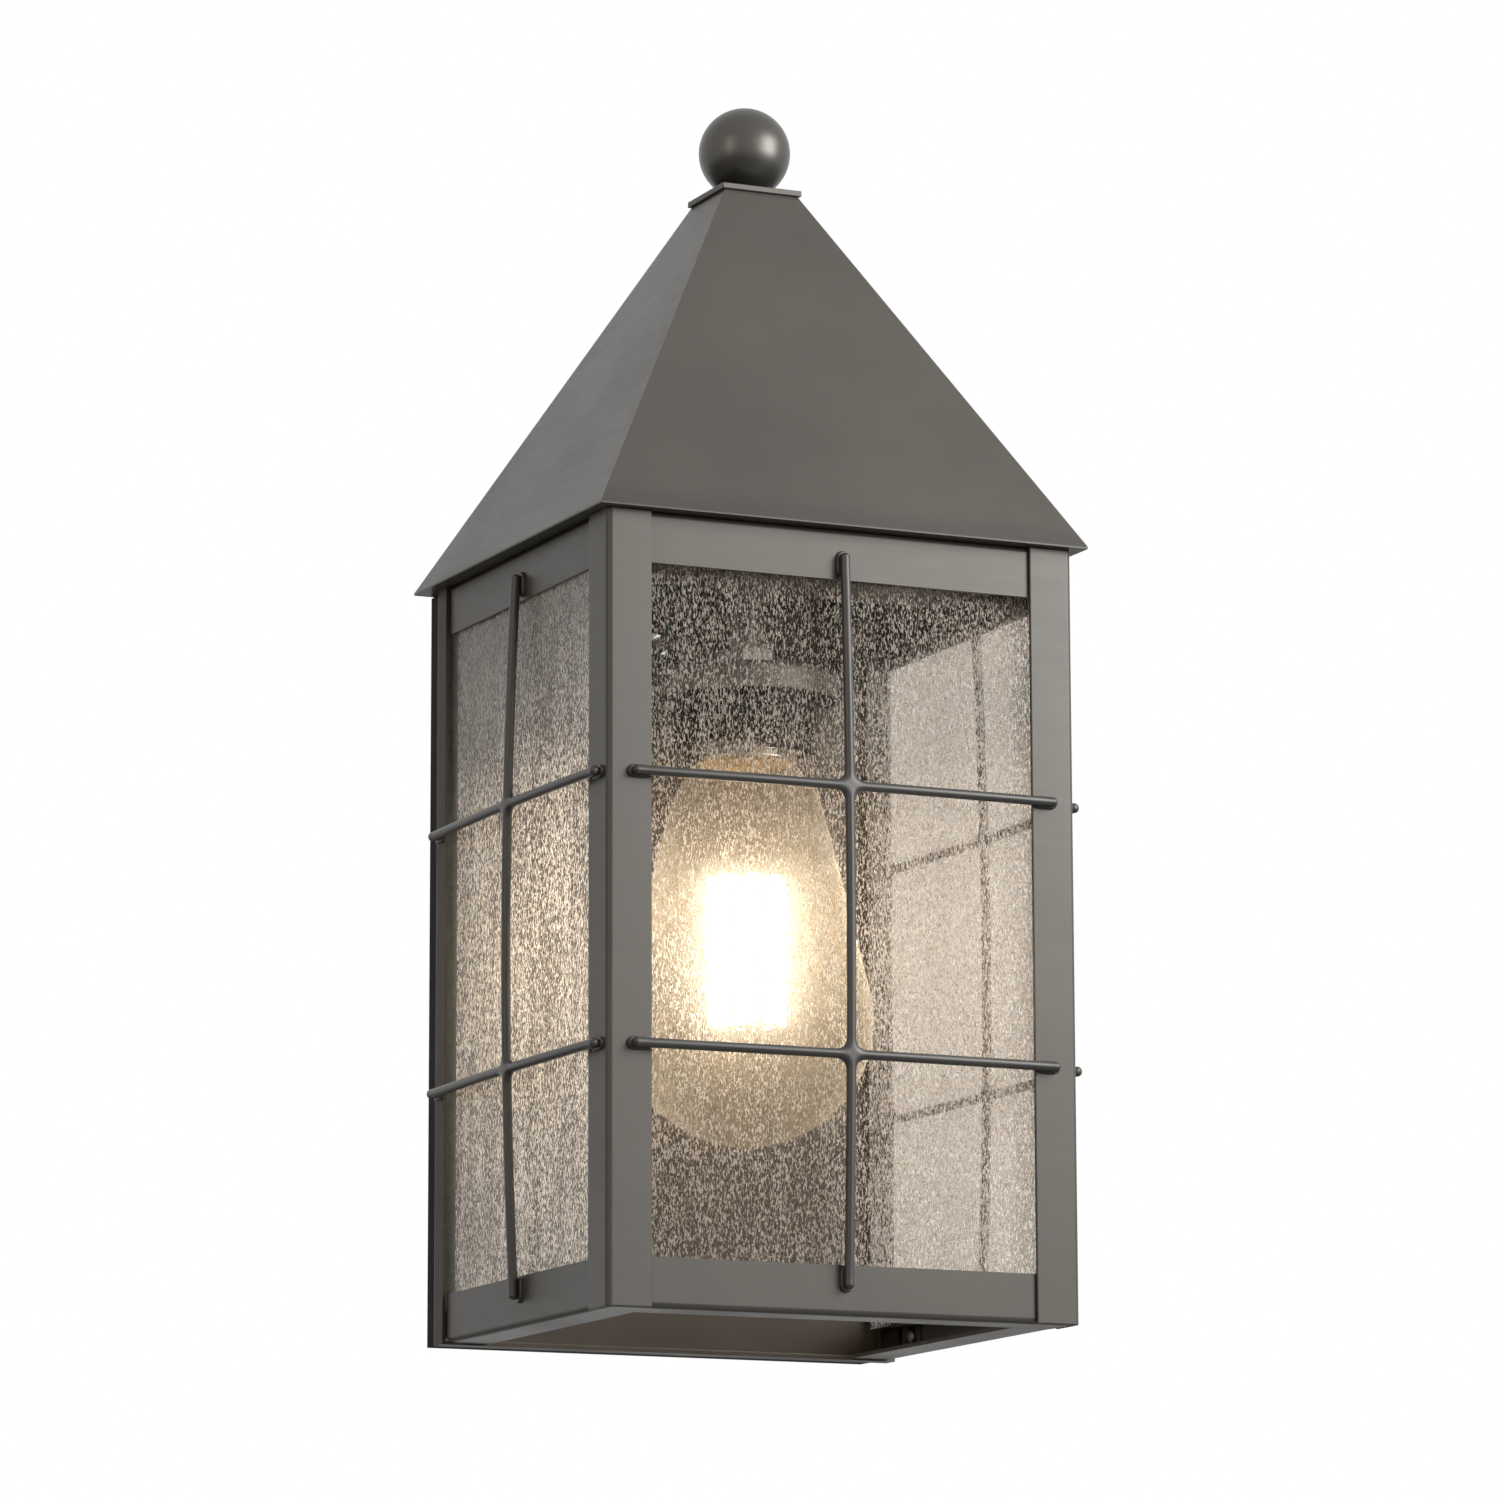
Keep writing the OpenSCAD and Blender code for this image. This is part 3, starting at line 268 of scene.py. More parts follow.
def seeded(name):
    """The pane's patterned face: a fine, upright ripple of pale flecks with clear glass between."""
    m = Mat(name)
    ripple = m.noise(1, 1.5, 0.5, m.stretch(2700, 2700, 850), 0.9)
    bands = m.noise(1, 2, 0.5, m.stretch(210, 210, 26))
    patches = m.noise(38, 2, 0.5)
    level = m.nudge(m.nudge(ripple, bands, 0.14), patches, 0.08)
    cover = m.ramp(level, (0.49, 0.0), (0.525, 0.25), (0.57, 0.97))
    rim = m.ramp(level, (0.445, 0.0), (0.48, 0.9), (0.51, 0.9), (0.535, 0.0))
    normal = m.bump(ripple, 0.5, 0.0006)

    # Painted light and shade by height: the flecks are made paler below the holder and above it,
    # and darkest in a band at the holder's height.
    painted_light_below = m.slope(0.056, 0.030)
    painted_light_above = m.slope(0.060, 0.080)

    # Between the flecks: clear glass whose darker rims glow amber, a painted warm glow.
    clear = m.shader("Transparent", Color=m.mix(rim, (0.94, 0.915, 0.885), (0.34, 0.28, 0.22)))
    amber = m.shader("Translucent", Color=(0.62, 0.33, 0.12))
    # Painted light: the amber's share follows the painted light by height.
    painted_amber_share = m.line(m.math("ADD", painted_light_below, painted_light_above, clamp=True), 0.12, 0.04)
    clear = m.blend_shaders(m.math("MULTIPLY", rim, painted_amber_share), clear, amber)

    # A fleck: a lit face, light let through, and what lies behind bent aside and blurred.
    tint = m.ramp(m.noise(90, 2, 0.5), (0.3, (0.74, 0.65, 0.56)), (0.7, (0.90, 0.80, 0.70)))
    front = m.shader("Principled", Base_Color=tint, Normal=normal, Roughness=0.35)
    # Painted shade: the light let through is dimmed in a band at the holder's height.
    painted_shade_at_holder = m.mix(painted_light_above, (0.32, 0.305, 0.285), (0.60, 0.575, 0.54))
    through = m.shader("Translucent", Normal=normal,
                       Color=m.mix(painted_light_below, painted_shade_at_holder, (0.92, 0.88, 0.83)))
    near_a, near_b, wide = m.lobes((0.955, 0.925, 0.885), normal,
                                   (1.2, 0.6), (0.833, 0.6), (1.45, 0.85))
    bent = m.blend_shaders(0.8, m.blend_shaders(0.5, near_a, near_b), wide)
    # Painted light: the share bent aside also follows the painted light by height.
    fleck = m.blend_shaders(m.line(painted_light_below, 0.14, 0.32), m.blend_shaders(0.52, front, through), bent)

    # Seen at a slant the flecks close up, and the pane glows with the light inside.
    # Painted light: this glow's colour is paler below the holder than above it.
    lit = m.shader("Translucent", Normal=normal,
                   Color=m.mix(painted_light_below, (0.55, 0.53, 0.505), (1.0, 0.96, 0.90)))
    fleck = m.blend_shaders(m.math("MULTIPLY", m.slant(2.0), 2.3, clamp=True), fleck, lit)
    return m.finish(m.blend_shaders(cover, clear, fleck))


def clear_glass(name, tint, gloss=0.014, rim=0.0, rim_tint=(0.3, 0.25, 0.2), rough=0.06, haze=0.0,
                edge=5.0, soft=0.1, blur=0.0):
    """A smooth glass face: see-through, with a little ripple.

    gloss is the share of its soft sheen and edge the power of its edge-on gleam. rim darkens it
    edge-on to rim_tint, haze lets it glow, and blur is the share of light that it scatters.
    """
    m = Mat(name)
    ripple = m.noise(60, 2, 0.5)
    normal = m.bump(ripple, 0.15, 0.001)
    body = m.ramp(ripple, (0.3, scaled(tint, 0.985)), (0.7, tint))
    clear = m.shader("Transparent", Color=body)
    if rim:
        dim = m.math("MULTIPLY", m.slant(3.0, 0.25), rim, clamp=True)
        clear = m.blend_shaders(dim, clear, m.shader("Transparent", Color=rim_tint))
    if blur:
        near_a, near_b, wide_a, wide_b = m.lobes(body, normal, (1.15, 0.7), (0.87, 0.7),
                                                 (1.4, 0.95), (0.714, 0.95))
        near = m.blend_shaders(0.5, near_a, near_b)
        wide = m.blend_shaders(0.5, wide_a, wide_b)
        clear = m.blend_shaders(blur, clear, m.blend_shaders(0.82, near, wide))
    if haze:
        veil = m.shader("Translucent", Color=(0.92, 0.81, 0.63), Normal=normal)
        clear = m.blend_shaders(m.line(m.slant(6.0), 0.6, haze), clear, veil)
    gleam = m.math("MULTIPLY", m.slant(edge, normal=normal), 0.9)
    shine = m.shader("Glossy", Color=WHITE, Normal=normal, Roughness=rough)
    sheen = m.shader("Glossy", Color=(1.0, 0.97, 0.92), Normal=normal, Roughness=max(rough, soft))
    return m.finish(m.blend_shaders(gleam, m.blend_shaders(gloss, clear, sheen), shine))


def glowing(name, colour, strength):
    m = Mat(name)
    beads = m.noise(1, 2, 0.5, m.stretch(500, 500, 900))
    glow = m.ramp(beads, (0.3, scaled(colour, 0.85)), (0.7, colour))
    return m.finish(m.shader("Principled", Base_Color=(0.8, 0.6, 0.3), Emission_Color=glow,
                             Roughness=0.5, Emission_Strength=strength))


PAINT = painted("paint_pewter", (0.0850, 0.0780, 0.0670), metallic=0.15, rough=0.36, gloss=0.26)
# The roof's fade paints shade along the eave: darkest at the eave, gone some 7 mm above it.
PAINT_ROOF = painted("paint_pewter_roof", (0.0900, 0.0835, 0.0730), metallic=0.15, rough=0.38,
                     gloss=0.26, fade=(0.0975, 0.105, 0.16))
PAINT_BALL = painted("paint_pewter_ball", (0.090, 0.085, 0.077), metallic=0.75, rough=0.36,
                     gloss=0.4, mottle=0.05)
PAINT_CUP = painted("paint_pewter_cup", (0.20, 0.195, 0.185), metallic=0.3, rough=0.45,
                    gloss=0.4, mottle=0.2)
# Painted shade: a much darker copy of the pewter paint, for the wall plate and the tray's tabs.
PAINT_SHADED = painted("paint_pewter_shaded_dark", (0.023, 0.020, 0.017), metallic=0.0, rough=0.55,
                     gloss=0.03)
# Painted shade and warm lamplight: a darker, browner copy of the pewter paint, for the tray.
PAINT_TRAY_SHADED = painted("paint_pewter_tray_shaded", (0.060, 0.048, 0.037), metallic=0.0, rough=0.38,
                     gloss=0.08, face_gloss=0.35)
PAINT_WIRE = painted("paint_pewter_wire", (0.062, 0.060, 0.056), metallic=0.3, rough=0.36,
                     gloss=0.35, mottle=0.1)
STEEL = metal("steel_zinc", (0.28, 0.275, 0.265), (0.42, 0.41, 0.395), rough=0.42)
GREEN = metal("steel_green", (0.03, 0.11, 0.045), (0.06, 0.19, 0.08), rough=0.4, metallic=0.6)
SCREW = metal("screw_dark", (0.10, 0.095, 0.088), (0.17, 0.162, 0.15), rough=0.4)
BRASS = metal("brass", (0.42, 0.28, 0.11), (0.58, 0.41, 0.18), rough=0.3)
PLATED = metal("brass_plated", (0.45, 0.41, 0.33), (0.62, 0.58, 0.49), rough=0.26)
HOLDER = dull("holder_glaze", (0.010, 0.008, 0.006), (0.019, 0.016, 0.013), rough=0.4, scale=420,
              bump=0.06, depth=0.0001, gloss=0.08)
CEMENT = dull("cap_cement", (0.66, 0.42, 0.15), (0.80, 0.53, 0.21), rough=0.6, scale=260)
RUBBER = dull("rubber", (0.016, 0.016, 0.016), (0.03, 0.03, 0.03), rough=0.7, scale=900)
PVC_BLACK = dull("insulation_black", (0.015, 0.015, 0.015), (0.03, 0.03, 0.032), rough=0.45,
                 scale=700)
PVC_WHITE = dull("insulation_white", (0.30, 0.29, 0.265), (0.38, 0.37, 0.34), rough=0.5, scale=700)
PVC_GREEN = dull("insulation_green", (0.02, 0.09, 0.03), (0.03, 0.13, 0.045), rough=0.5, scale=700)
BLACK_GLASS = dull("black_glass", (0.012, 0.012, 0.014), (0.022, 0.022, 0.026), rough=0.14,
                   scale=500, bump=0.03)
SEEDED = seeded("glass_seeded")
GROUND = dull("glass_ground_edge", (0.09, 0.10, 0.09), (0.14, 0.15, 0.14), rough=0.6, scale=900,
              depth=0.0001, gloss=0.1)
PANE = clear_glass("glass_pane", (0.97, 0.965, 0.955), gloss=0.003, rough=0.5, edge=4.3)
BULB = clear_glass("glass_lamp", (0.97, 0.94, 0.89), gloss=0.012, rim=0.4,
                   rim_tint=(0.42, 0.30, 0.18), haze=0.14, edge=7.0, soft=0.55, blur=0.22)
STEM = clear_glass("glass_stem", (0.93, 0.90, 0.85), rim=0.6)
GLOW = glowing("strand_glow", (1.0, 0.91, 0.75), strength=27)


# ---------------------------------------------------------------- mesh helpers

def piece(name, bm, mats, replaces, body="lantern", sharp=35):
    """Turns a bmesh of the cage's frame into a piece of the lantern."""
    bmesh.ops.remove_doubles(bm, verts=bm.verts, dist=0.002)
    bmesh.ops.recalc_face_normals(bm, faces=bm.faces)
    for v in bm.verts:
        v.co = at(*v.co)
    me = bpy.data.meshes.new(name)
    bm.to_mesh(me)
    bm.free()
    for mat in mats:
        me.materials.append(mat)
    me.shade_smooth()
    me.set_sharp_from_angle(angle=math.radians(sharp))
    ob = bpy.data.objects.new(name, me)
    scene.collection.objects.link(ob)
    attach(ob, body)
    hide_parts(*replaces)


def round_point(r, i, n):
    """Point i of n on a circle."""
    return r * math.cos(2 * math.pi * i / n), r * math.sin(2 * math.pi * i / n)


def bridge(bm, rings):
    """Quads between each closed ring of vertices and the next."""
    for r0, r1 in zip(rings, rings[1:]):
        n = len(r0)
        for i in range(n):
            bm.faces.new((r0[i], r0[(i + 1) % n], r1[(i + 1) % n], r1[i]))


def cap(bm, *rings):
    for ring in rings:
        bm.faces.new(ring)


def lathe(bm, profile, n, mat=0):
    """A skin turned round the lamp's axis through (radius, height); radius 0 is a pole."""
    rings = []
    for r, h in profile:
        spots = [(0, 0)] if r < 1e-6 else [round_point(r, i, n) for i in range(n)]
        rings.append([bm.verts.new((u, -AXIS + v, h)) for u, v in spots])
    for a, b in zip(rings, rings[1:]):
        for i in range(n):
            j = (i + 1) % n
            if len(a) == 1:
                face = bm.faces.new((a[0], b[i], b[j]))
            elif len(b) == 1:
                face = bm.faces.new((a[i], b[0], a[j]))
            else:
                face = bm.faces.new((a[i], b[i], b[j], a[j]))
            face.material_index = mat


def arc(cx, cz, r, a0, a1, n):
    """Points of (radius, height) on an arc from a0 to a1 degrees, for a lathe."""
    angles = [math.radians(a0 + (a1 - a0) * i / n) for i in range(n + 1)]
    return [(cx + r * math.cos(a), cz + r * math.sin(a)) for a in angles]


def dress(mat, *nodes, bevel=None):
    """CAD nodes that keep their shape: a better material and, where they show, softened edges."""
    for node in nodes:
        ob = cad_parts[node]
        for s in ob.material_slots:
            s.material = mat
        if bevel:
            soften(ob, bevel)


def soften(ob, width):
    """Merges the solid's triangles into flat faces, then rounds its edges to a width."""
    weld = ob.modifiers.new("weld", "WELD")
    weld.merge_threshold = 0.000002
    flat = ob.modifiers.new("flat", "DECIMATE")
    flat.decimate_type, flat.angle_limit = "DISSOLVE", math.radians(1.0)
    edges = ob.modifiers.new("edges", "BEVEL")
    edges.width, edges.segments = width * MM, 2
    edges.limit_method, edges.angle_limit = "ANGLE", math.radians(32)
    edges.use_clamp_overlap = True
    edges.harden_normals = False
    normals = ob.modifiers.new("normals", "WEIGHTED_NORMAL")
    normals.keep_sharp = False
    normals.weight = 90


# ---------------------------------------------------------------- the CAD nodes that stay

dress(PAINT_SHADED, "wall_plate", "tray_tabs")
dress(PAINT_TRAY_SHADED, "back_tray")
dress(PAINT, "post_left", "post_right", bevel=0.3)
dress(PAINT, "top_rail_front", "top_rail_left", "top_rail_right",
      "bottom_rail_front", "bottom_rail_left", "bottom_rail_right", bevel=0.25)
dress(PAINT_ROOF, "roof_shell", bevel=0.4)
dress(PAINT, "roof_cap_plate", bevel=0.2)
dress(STEEL, "crossbar", "crossbar_stud", "stud_lock_nut", "hanger_tube", "tube_nuts",
      "holder_strap", "strap_nuts", "bulb_contact", "bulb_supports")
dress(SCREW, "glass_clips")
dress(GREEN, "earth_screws")
dress(BRASS, "screw_shell", "centre_contact")
dress(PVC_BLACK, "live_lead")
dress(PVC_WHITE, "neutral_lead")
dress(PVC_GREEN, "earth_lead")
dress(RUBBER, "lead_grommet")
dress(BLACK_GLASS, "bulb_insulator")
dress(STEM, "bulb_stem")
dress(GLOW, "bulb_strands")


# ---------------------------------------------------------------- wire grids

WIRE_R = 1.2
WIRE_SIDES = 24
STAND = 1.8                     # the wires' axes stand this far off the face at their ends
BOW, BOW_HALF = 2.4, 91.0       # the upright's bow at the middle; the half length that it spans
RAIL_IN = 1.0                   # the rails' faces lie this far behind the posts' faces
CROSS_Z = (63.4, 129.8)         # heights of the two cross wires
FILLET = 3.2                    # reach of the smoothing where two wires fuse
ARM = 4.4                       # length of wire from a crossing that its weld takes up
UPRIGHT_ENDS = (6.4, 188.4)     # heights of the upright's tips
UPRIGHT_PADS = (8.8, 186.0)     # heights of the two pads under it
PAD_R = 1.6
# The rounded tip of a wire: millimetres along it, and its radius in wire radii.
BEAD = [(0.0, 1.0), (0.55, 1.06), (0.9, 1.04), (1.15, 0.9), (1.4, 0.66), (1.55, 0.36)]
BEAD_L = 1.55
# How far the pad's outline has drawn in at each height.
PAD_LAYERS = [(0.0, 0.0), (0.0, 0.5), (0.09, 0.68), (0.26, 0.78), (0.5, 0.8), (0.85, 0.84),
              (1.15, 1.05)]


def upright_out(z):
    """How far the bowed upright lies out from a straight one at height z."""
    return BOW * (1 - ((z - CAGE_H / 2) / BOW_HALF) ** 2) - RAIL_IN


def smooth_min(a, b):
    h = max(FILLET - abs(a - b), 0) / FILLET
    return min(a, b) - h * h * FILLET / 4


def weld_edge(x):
    """Half width of a wire's outline at x from a crossing, where the weld's fillet widens it."""
    lo, hi = 0.0, 6.0
    for _ in range(40):
        y = (lo + hi) / 2
        if smooth_min(x, y) < WIRE_R:
            lo = y
        else:
            hi = y
    return lo


def crossing(bm, place, zc):
    """Two wires fused at a crossing: wedges whose height follows a smoothed distance."""
    stations = [0.0, 0.45, 0.9, 1.35, 1.7, 2.0, 2.3, 2.7, 3.2, 3.8, ARM]
    steps = 6
    for swap, sa, sb, so in itertools.product((0, 1), (1, -1), (1, -1), (1, -1)):
        rows = []
        for x in stations:
            edge = WIRE_R if x >= ARM else min(x, weld_edge(x))
            row = []
            for i in range(steps + 1):
                y = edge * math.sin(i / steps * math.pi / 2)
                d = max(smooth_min(x, y) if x < ARM else y, 0)
                o = so * math.sqrt(max(WIRE_R ** 2 - d * d, 0))
                a, b = (sa * x, sb * y) if not swap else (sb * y, sa * x)
                row.append(bm.verts.new(place(a, o, zc + b)))
            rows.append(row)
        for r0, r1 in zip(rows, rows[1:]):
            for i in range(steps):
                quad = [r0[i], r0[i + 1], r1[i + 1], r1[i]]
                if (r0[i].co - r0[i + 1].co).length < 1e-5:
                    quad = [r0[i], r1[i + 1], r1[i]]
                bm.faces.new(quad)


def tube(bm, place, a0, a1, along_x, fixed, tip0=False, tip1=False):
    """A run of wire from a0 to a1, along the face or up it; a tip is a rounded bead of weld."""
    n = max(2, int(abs(a1 - a0) / 4.0))
    spots = [(a0 + (a1 - a0) * i / n, WIRE_R) for i in range(n + 1)]
    s = 1 if a1 > a0 else -1
    if tip1:
        spots = spots[:-1] + [(a1 - s * BEAD_L + s * d, WIRE_R * k) for d, k in BEAD]
    if tip0:
        spots = [(a0 + s * BEAD_L - s * d, WIRE_R * k) for d, k in reversed(BEAD)] + spots[1:]
    rings = []
    for a, r in spots:
        ring = []
        for i in range(WIRE_SIDES):
            angle = i * math.pi / (WIRE_SIDES // 2)
            u, o = r * math.sin(angle), r * math.cos(angle)
            ring.append(bm.verts.new(place(a, o, fixed + u) if along_x else place(fixed + u, o, a)))
        rings.append(ring)
    bridge(bm, rings)
    cap(bm, *([rings[0]] if tip0 else []), *([rings[-1]] if tip1 else []))


def pad(bm, place, a, b, along_x, base):
    """A round-ended plate, softened round its upper edge, with a fillet of weld up to the wire."""
    steps = 8
    rings = []
    for inset, o in PAD_LAYERS:
        ring = []
        for end in (1, -1):
            for i in range(steps + 1):
                t = math.pi / 2 - math.pi * i / steps
                u = end * (PAD_R + (PAD_R - inset) * math.cos(t))
                v = end * (PAD_R - inset) * math.sin(t)
                ring.append(bm.verts.new(place(a + u, base + o, b + v) if along_x
                                         else place(a + v, base + o, b + u)))
        rings.append(ring)
    bridge(bm, rings)
    cap(bm, rings[0], rings[-1])


def grid(name, node, face, mid, half_cross, half_pads):
    """One upright and two cross wires, all bowed; face places (along, out, height) on the cage.

    mid is the middle of the grid along the face, half_cross the half length of a cross wire and
    half_pads that of the row of pads under it.
    """
    def flat(u, o, z):
        return face(u + mid, o, z)

    def bowed(u, o, z):
        zc = min(CROSS_Z, key=lambda c: abs(c - z))
        return flat(u, STAND + upright_out(z) + o - upright_out(zc) * (u / half_cross) ** 2, z)

    def bowed_cross(zc):
        return lambda u, o, z: flat(u, STAND + o + upright_out(zc) * (1 - (u / half_cross) ** 2)
                                    + upright_out(z) - upright_out(zc), z)

    bm = bmesh.new()
    low, high = CROSS_Z
    for zc in CROSS_Z:
        crossing(bm, bowed, zc)
        for s in (1, -1):
            tube(bm, bowed_cross(zc), s * ARM, s * half_cross, along_x=True, fixed=zc, tip1=True)
            pad(bm, flat, s * (half_pads - 2 * PAD_R), zc, along_x=True, base=0.0)
    tube(bm, bowed, UPRIGHT_ENDS[0], low - ARM, along_x=False, fixed=0.0, tip0=True)
    tube(bm, bowed, low + ARM, high - ARM, along_x=False, fixed=0.0)
    tube(bm, bowed, high + ARM, UPRIGHT_ENDS[1], along_x=False, fixed=0.0, tip1=True)
    for z in UPRIGHT_PADS:
        pad(bm, flat, 0.0, z, along_x=False, base=-RAIL_IN)
    piece(name, bm, [PAINT_WIRE], replaces=[node], sharp=50)


FRONT_Y, SIDE_X = -120, 63.5      # the planes of the posts' faces
SIDE = {"mid": -64.25, "half_cross": 52.95, "half_pads": 53.75}
grid("wires_front", "grid_front", lambda u, o, z: (u, FRONT_Y - o, z),
     mid=0.0, half_cross=57.6, half_pads=58.4)
grid("wires_left", "grid_left", lambda u, o, z: (-SIDE_X - o, u, z), **SIDE)
grid("wires_right", "grid_right", lambda u, o, z: (SIDE_X + o, u, z), **SIDE)


# ---------------------------------------------------------------- finial, cup, holder, lamp cap

CUP_R = 23.25


def ball():
    """A turned ball whose short foot stands on the cap plate."""
    centre, r = 305.3, 11.8
    foot = [(6.0, 295.2), (6.0, 294.25), (5.8, 294.0), (5.0, 294.0)]
    bm = bmesh.new()
    lathe(bm, arc(0, centre, r, 90, -58, 56) + foot, 128)
    piece("ball", bm, [PAINT_BALL], body="finial",
          replaces=["ball_finial"], sharp=30)


def cup():
    """A spun cup: rolled lip, straight skirt, soft shoulder, and a flat for the tube's nut."""
    r, inner_r, bore, bend = CUP_R, CUP_R - 0.8, 4.95, 1.7
    bm = bmesh.new()
    skirt = [(inner_r, 161.2), (r - 0.35, 161.0), (r, 161.35), (r, 163.5), (r, 166.3)]
    shoulder = arc(r - bend, 166.3, bend, 15, 75, 6)
    crown = [(14.0, 169.3), (9.2, 170.3), (8.4, 170.4), (bore, 170.4)]
    inside = [(bore, 169.6), (8.6, 169.6), (13.6, 168.5), (inner_r - 1.4, 167.2),
              (inner_r, 166.0), (inner_r, 161.2)]
    lathe(bm, skirt + shoulder + crown + inside, 128)
    piece("cup", bm, [PAINT_CUP], replaces=["holder_cup"], sharp=40)


def holder():
    """The lamp holder's moulded body: rounded rim, a shallow groove, and the bore for the shell."""
    r, bore, groove = 18.8, 13.9, 0.35
    bm = bmesh.new()
    lathe(bm, [(bore, 163.0), (bore, 149.2), (14.3, 148.7), (15.2, 148.5), (r - 0.9, 148.5),
               (r - 0.3, 148.75), (r, 149.4), (r, 151.6), (r - groove, 151.9), (r - groove, 152.4),
               (r, 152.7), (r, 164.9), (r - 7, 168.9), (0, 168.9)], 112)
    lathe(bm, [(bore, 162.9), (8.6, 162.9), (8.6, 167.6), (0, 167.6)], 64)
    piece("holder_body", bm, [HOLDER], replaces=["lamp_holder"], sharp=28)


def lamp_cap():
    """A rolled cap: its thread climbs as one helix, with a plain rim below and a shoulder above."""
    n, z0, length = 72, 144.8, 15.0
    rim_r, root_r, thread_h, pitch = 13.1, 12.2, 0.9, 3.6
    shoulder = 14.2
    levels = [0.0, 0.35, 0.7, 1.0, 1.3, 1.6] + [1.6 + 0.3 * i for i in range(1, 40)]
    levels += [13.9, 14.4, 14.8, length]

    def radius(h, a):
        if h <= 1.0:
            return rim_r - (0.25 if h < 0.2 else 0)
        if h > shoulder:
            return root_r - (h - shoulder) * 1.6
        fade = min(1, max(0, (h - 1.2) / 1.2)) * min(1, max(0, (13.8 - h) / 1.4))
        wave = 0.5 + 0.5 * math.cos(2 * math.pi * ((h - 1.5) / pitch - 0.5) - a)
        return root_r + thread_h * wave ** 0.8 * fade

    bm = bmesh.new()
    rings = []
    for h in levels:
        ring = []
        for i in range(n):
            u, v = round_point(radius(h, 2 * math.pi * i / n), i, n)
            ring.append(bm.verts.new((u, -AXIS + v, z0 + h)))
        rings.append(ring)
    bridge(bm, rings)
    lathe(bm, [(10.9, z0 + length), (5.0, z0 + length)], n)
    lathe(bm, [(12.3, z0 + 0.6), (11.6, z0 + 1.4), (4.0, z0 + 2.2), (3.9, z0 + 6.0)], n, mat=1)
    piece("lamp_cap", bm, [PLATED, CEMENT], body="lamp",
          replaces=["bulb_cap"], sharp=50)


def dome_nut():
    """The nut that holds the lantern: a hexagon with chamfered corners under a turned dome."""
    n, dome_steps = 48, 9
    back, shoulder, top = 9.7, 14.2, 21.0      # out from the wall
    half_flats, past_corners, dome_r = 11.2 / 2, 9, 5.0
    bm = bmesh.new()

    def ring(depth, reach):
        out = []
        for i in range(n):
            a = 2 * math.pi * i / n
            k = (a + math.pi / 6) % (math.pi / 3) - math.pi / 6
            u, v = round_point(min(half_flats / math.cos(k), reach), i, n)
            out.append(bm.verts.new((u, -depth, BOX_Z + v)))
        return out

    rings = [ring(back, half_flats + 0.1), ring(back + 0.35, past_corners),
             ring(shoulder - 0.4, past_corners), ring(shoulder, half_flats + 0.1),
             ring(shoulder + 0.02, dome_r)]
    foot = shoulder + 0.3
    for k in range(1, dome_steps + 1):
        t = k / dome_steps * math.pi / 2
        rings.append(ring(foot + (top - foot) * math.sin(t), max(dome_r * math.cos(t), 0.02)))
    bridge(bm, rings)
    cap(bm, rings[0], rings[-1])
    piece("dome_nut", bm, [PAINT], body="wall_nut",
          replaces=["cap_nut"], sharp=32)


ball()
cup()
holder()
lamp_cap()
dome_nut()


# ---------------------------------------------------------------- clips and screws

def across(way):
    """Two directions square to way and to each other."""
    side = way.orthogonal().normalized()
    return side, way.cross(side)


def screw(bm, centre, out, r, h, turn):
    """A slotted round head: a dome cut by a slot, over a short straight edge."""
    side, other = across(out)
    side, other = (side * math.cos(turn) + other * math.sin(turn),
                   other * math.cos(turn) - side * math.sin(turn))
    half, deep, brim = 0.16 * r, 0.45 * h, 0.22
    cols, steps = 40, 8
    xs = {r * 1.001 * math.cos(math.pi * i / cols) for i in range(cols + 1)}
    xs = sorted(xs | {half, -half, half * 1.02, -half * 1.02})

    def height(x, y):
        d = min(1.0, math.hypot(x, y) / r)
        top = h * (brim + (1 - brim) * math.sqrt(max(0, 1 - d * d)))
        return top if abs(x) > half * 1.01 else min(top, h - deep)

    rows = []
    for x in xs:
        reach = math.sqrt(max(r * r - x * x, 0))
        ys = [reach * math.sin(math.pi / 2 * j / steps) for j in range(-steps, steps + 1)]
        rows.append([bm.verts.new(centre + side * x + other * y + out * height(x, y)) for y in ys])
    for r0, r1 in zip(rows, rows[1:]):
        for j in range(2 * steps):
            bm.faces.new((r0[j], r0[j + 1], r1[j + 1], r1[j]))
    edge = [row[-1] for row in rows] + [row[0] for row in reversed(rows)]
    low = [bm.verts.new(v.co - out * (v.co - centre).dot(out)) for v in edge]
    bridge(bm, [edge, low])


def shank(bm, centre, along, r, length):
    """The threaded length behind a head, as fine ridges."""
    side, other = across(along)
    n, steps = 20, max(2, int(length / 0.25))
    spots = [round_point(1.0, i, n) for i in range(n)]
    rings = []
    for k in range(steps + 1):
        ridge = r - (0.16 if k % 2 else 0.0)
        middle = centre + along * (length * k / steps)
        rings.append([bm.verts.new(middle + side * ridge * u + other * ridge * v)
                      for u, v in spots])
    bridge(bm, rings)
    cap(bm, rings[-1])


def screws(name, node, places, head, back):
    """places hold (head's seat, way out, slot's turn); head and back hold (radius, length)."""
    bm = bmesh.new()
    for place, out, turn in places:
        screw(bm, Vector(place), Vector(out), *head, turn)
        shank(bm, Vector(place), -Vector(out), *back)
    piece(name, bm, [SCREW], replaces=[node], sharp=28)


CLIP_Z = (4.5, 190.3)
FRONT_CLIP_X, FRONT_CLIP_Y = 38.5, -117.2
SIDE_CLIP_X, SIDE_CLIP_Y = 60.7, (-31.1, -103.3)
CUP_SCREW_Z = 163.6
STRAP_SCREW_X, STRAP_SCREW_Z = 56.3, 192.3

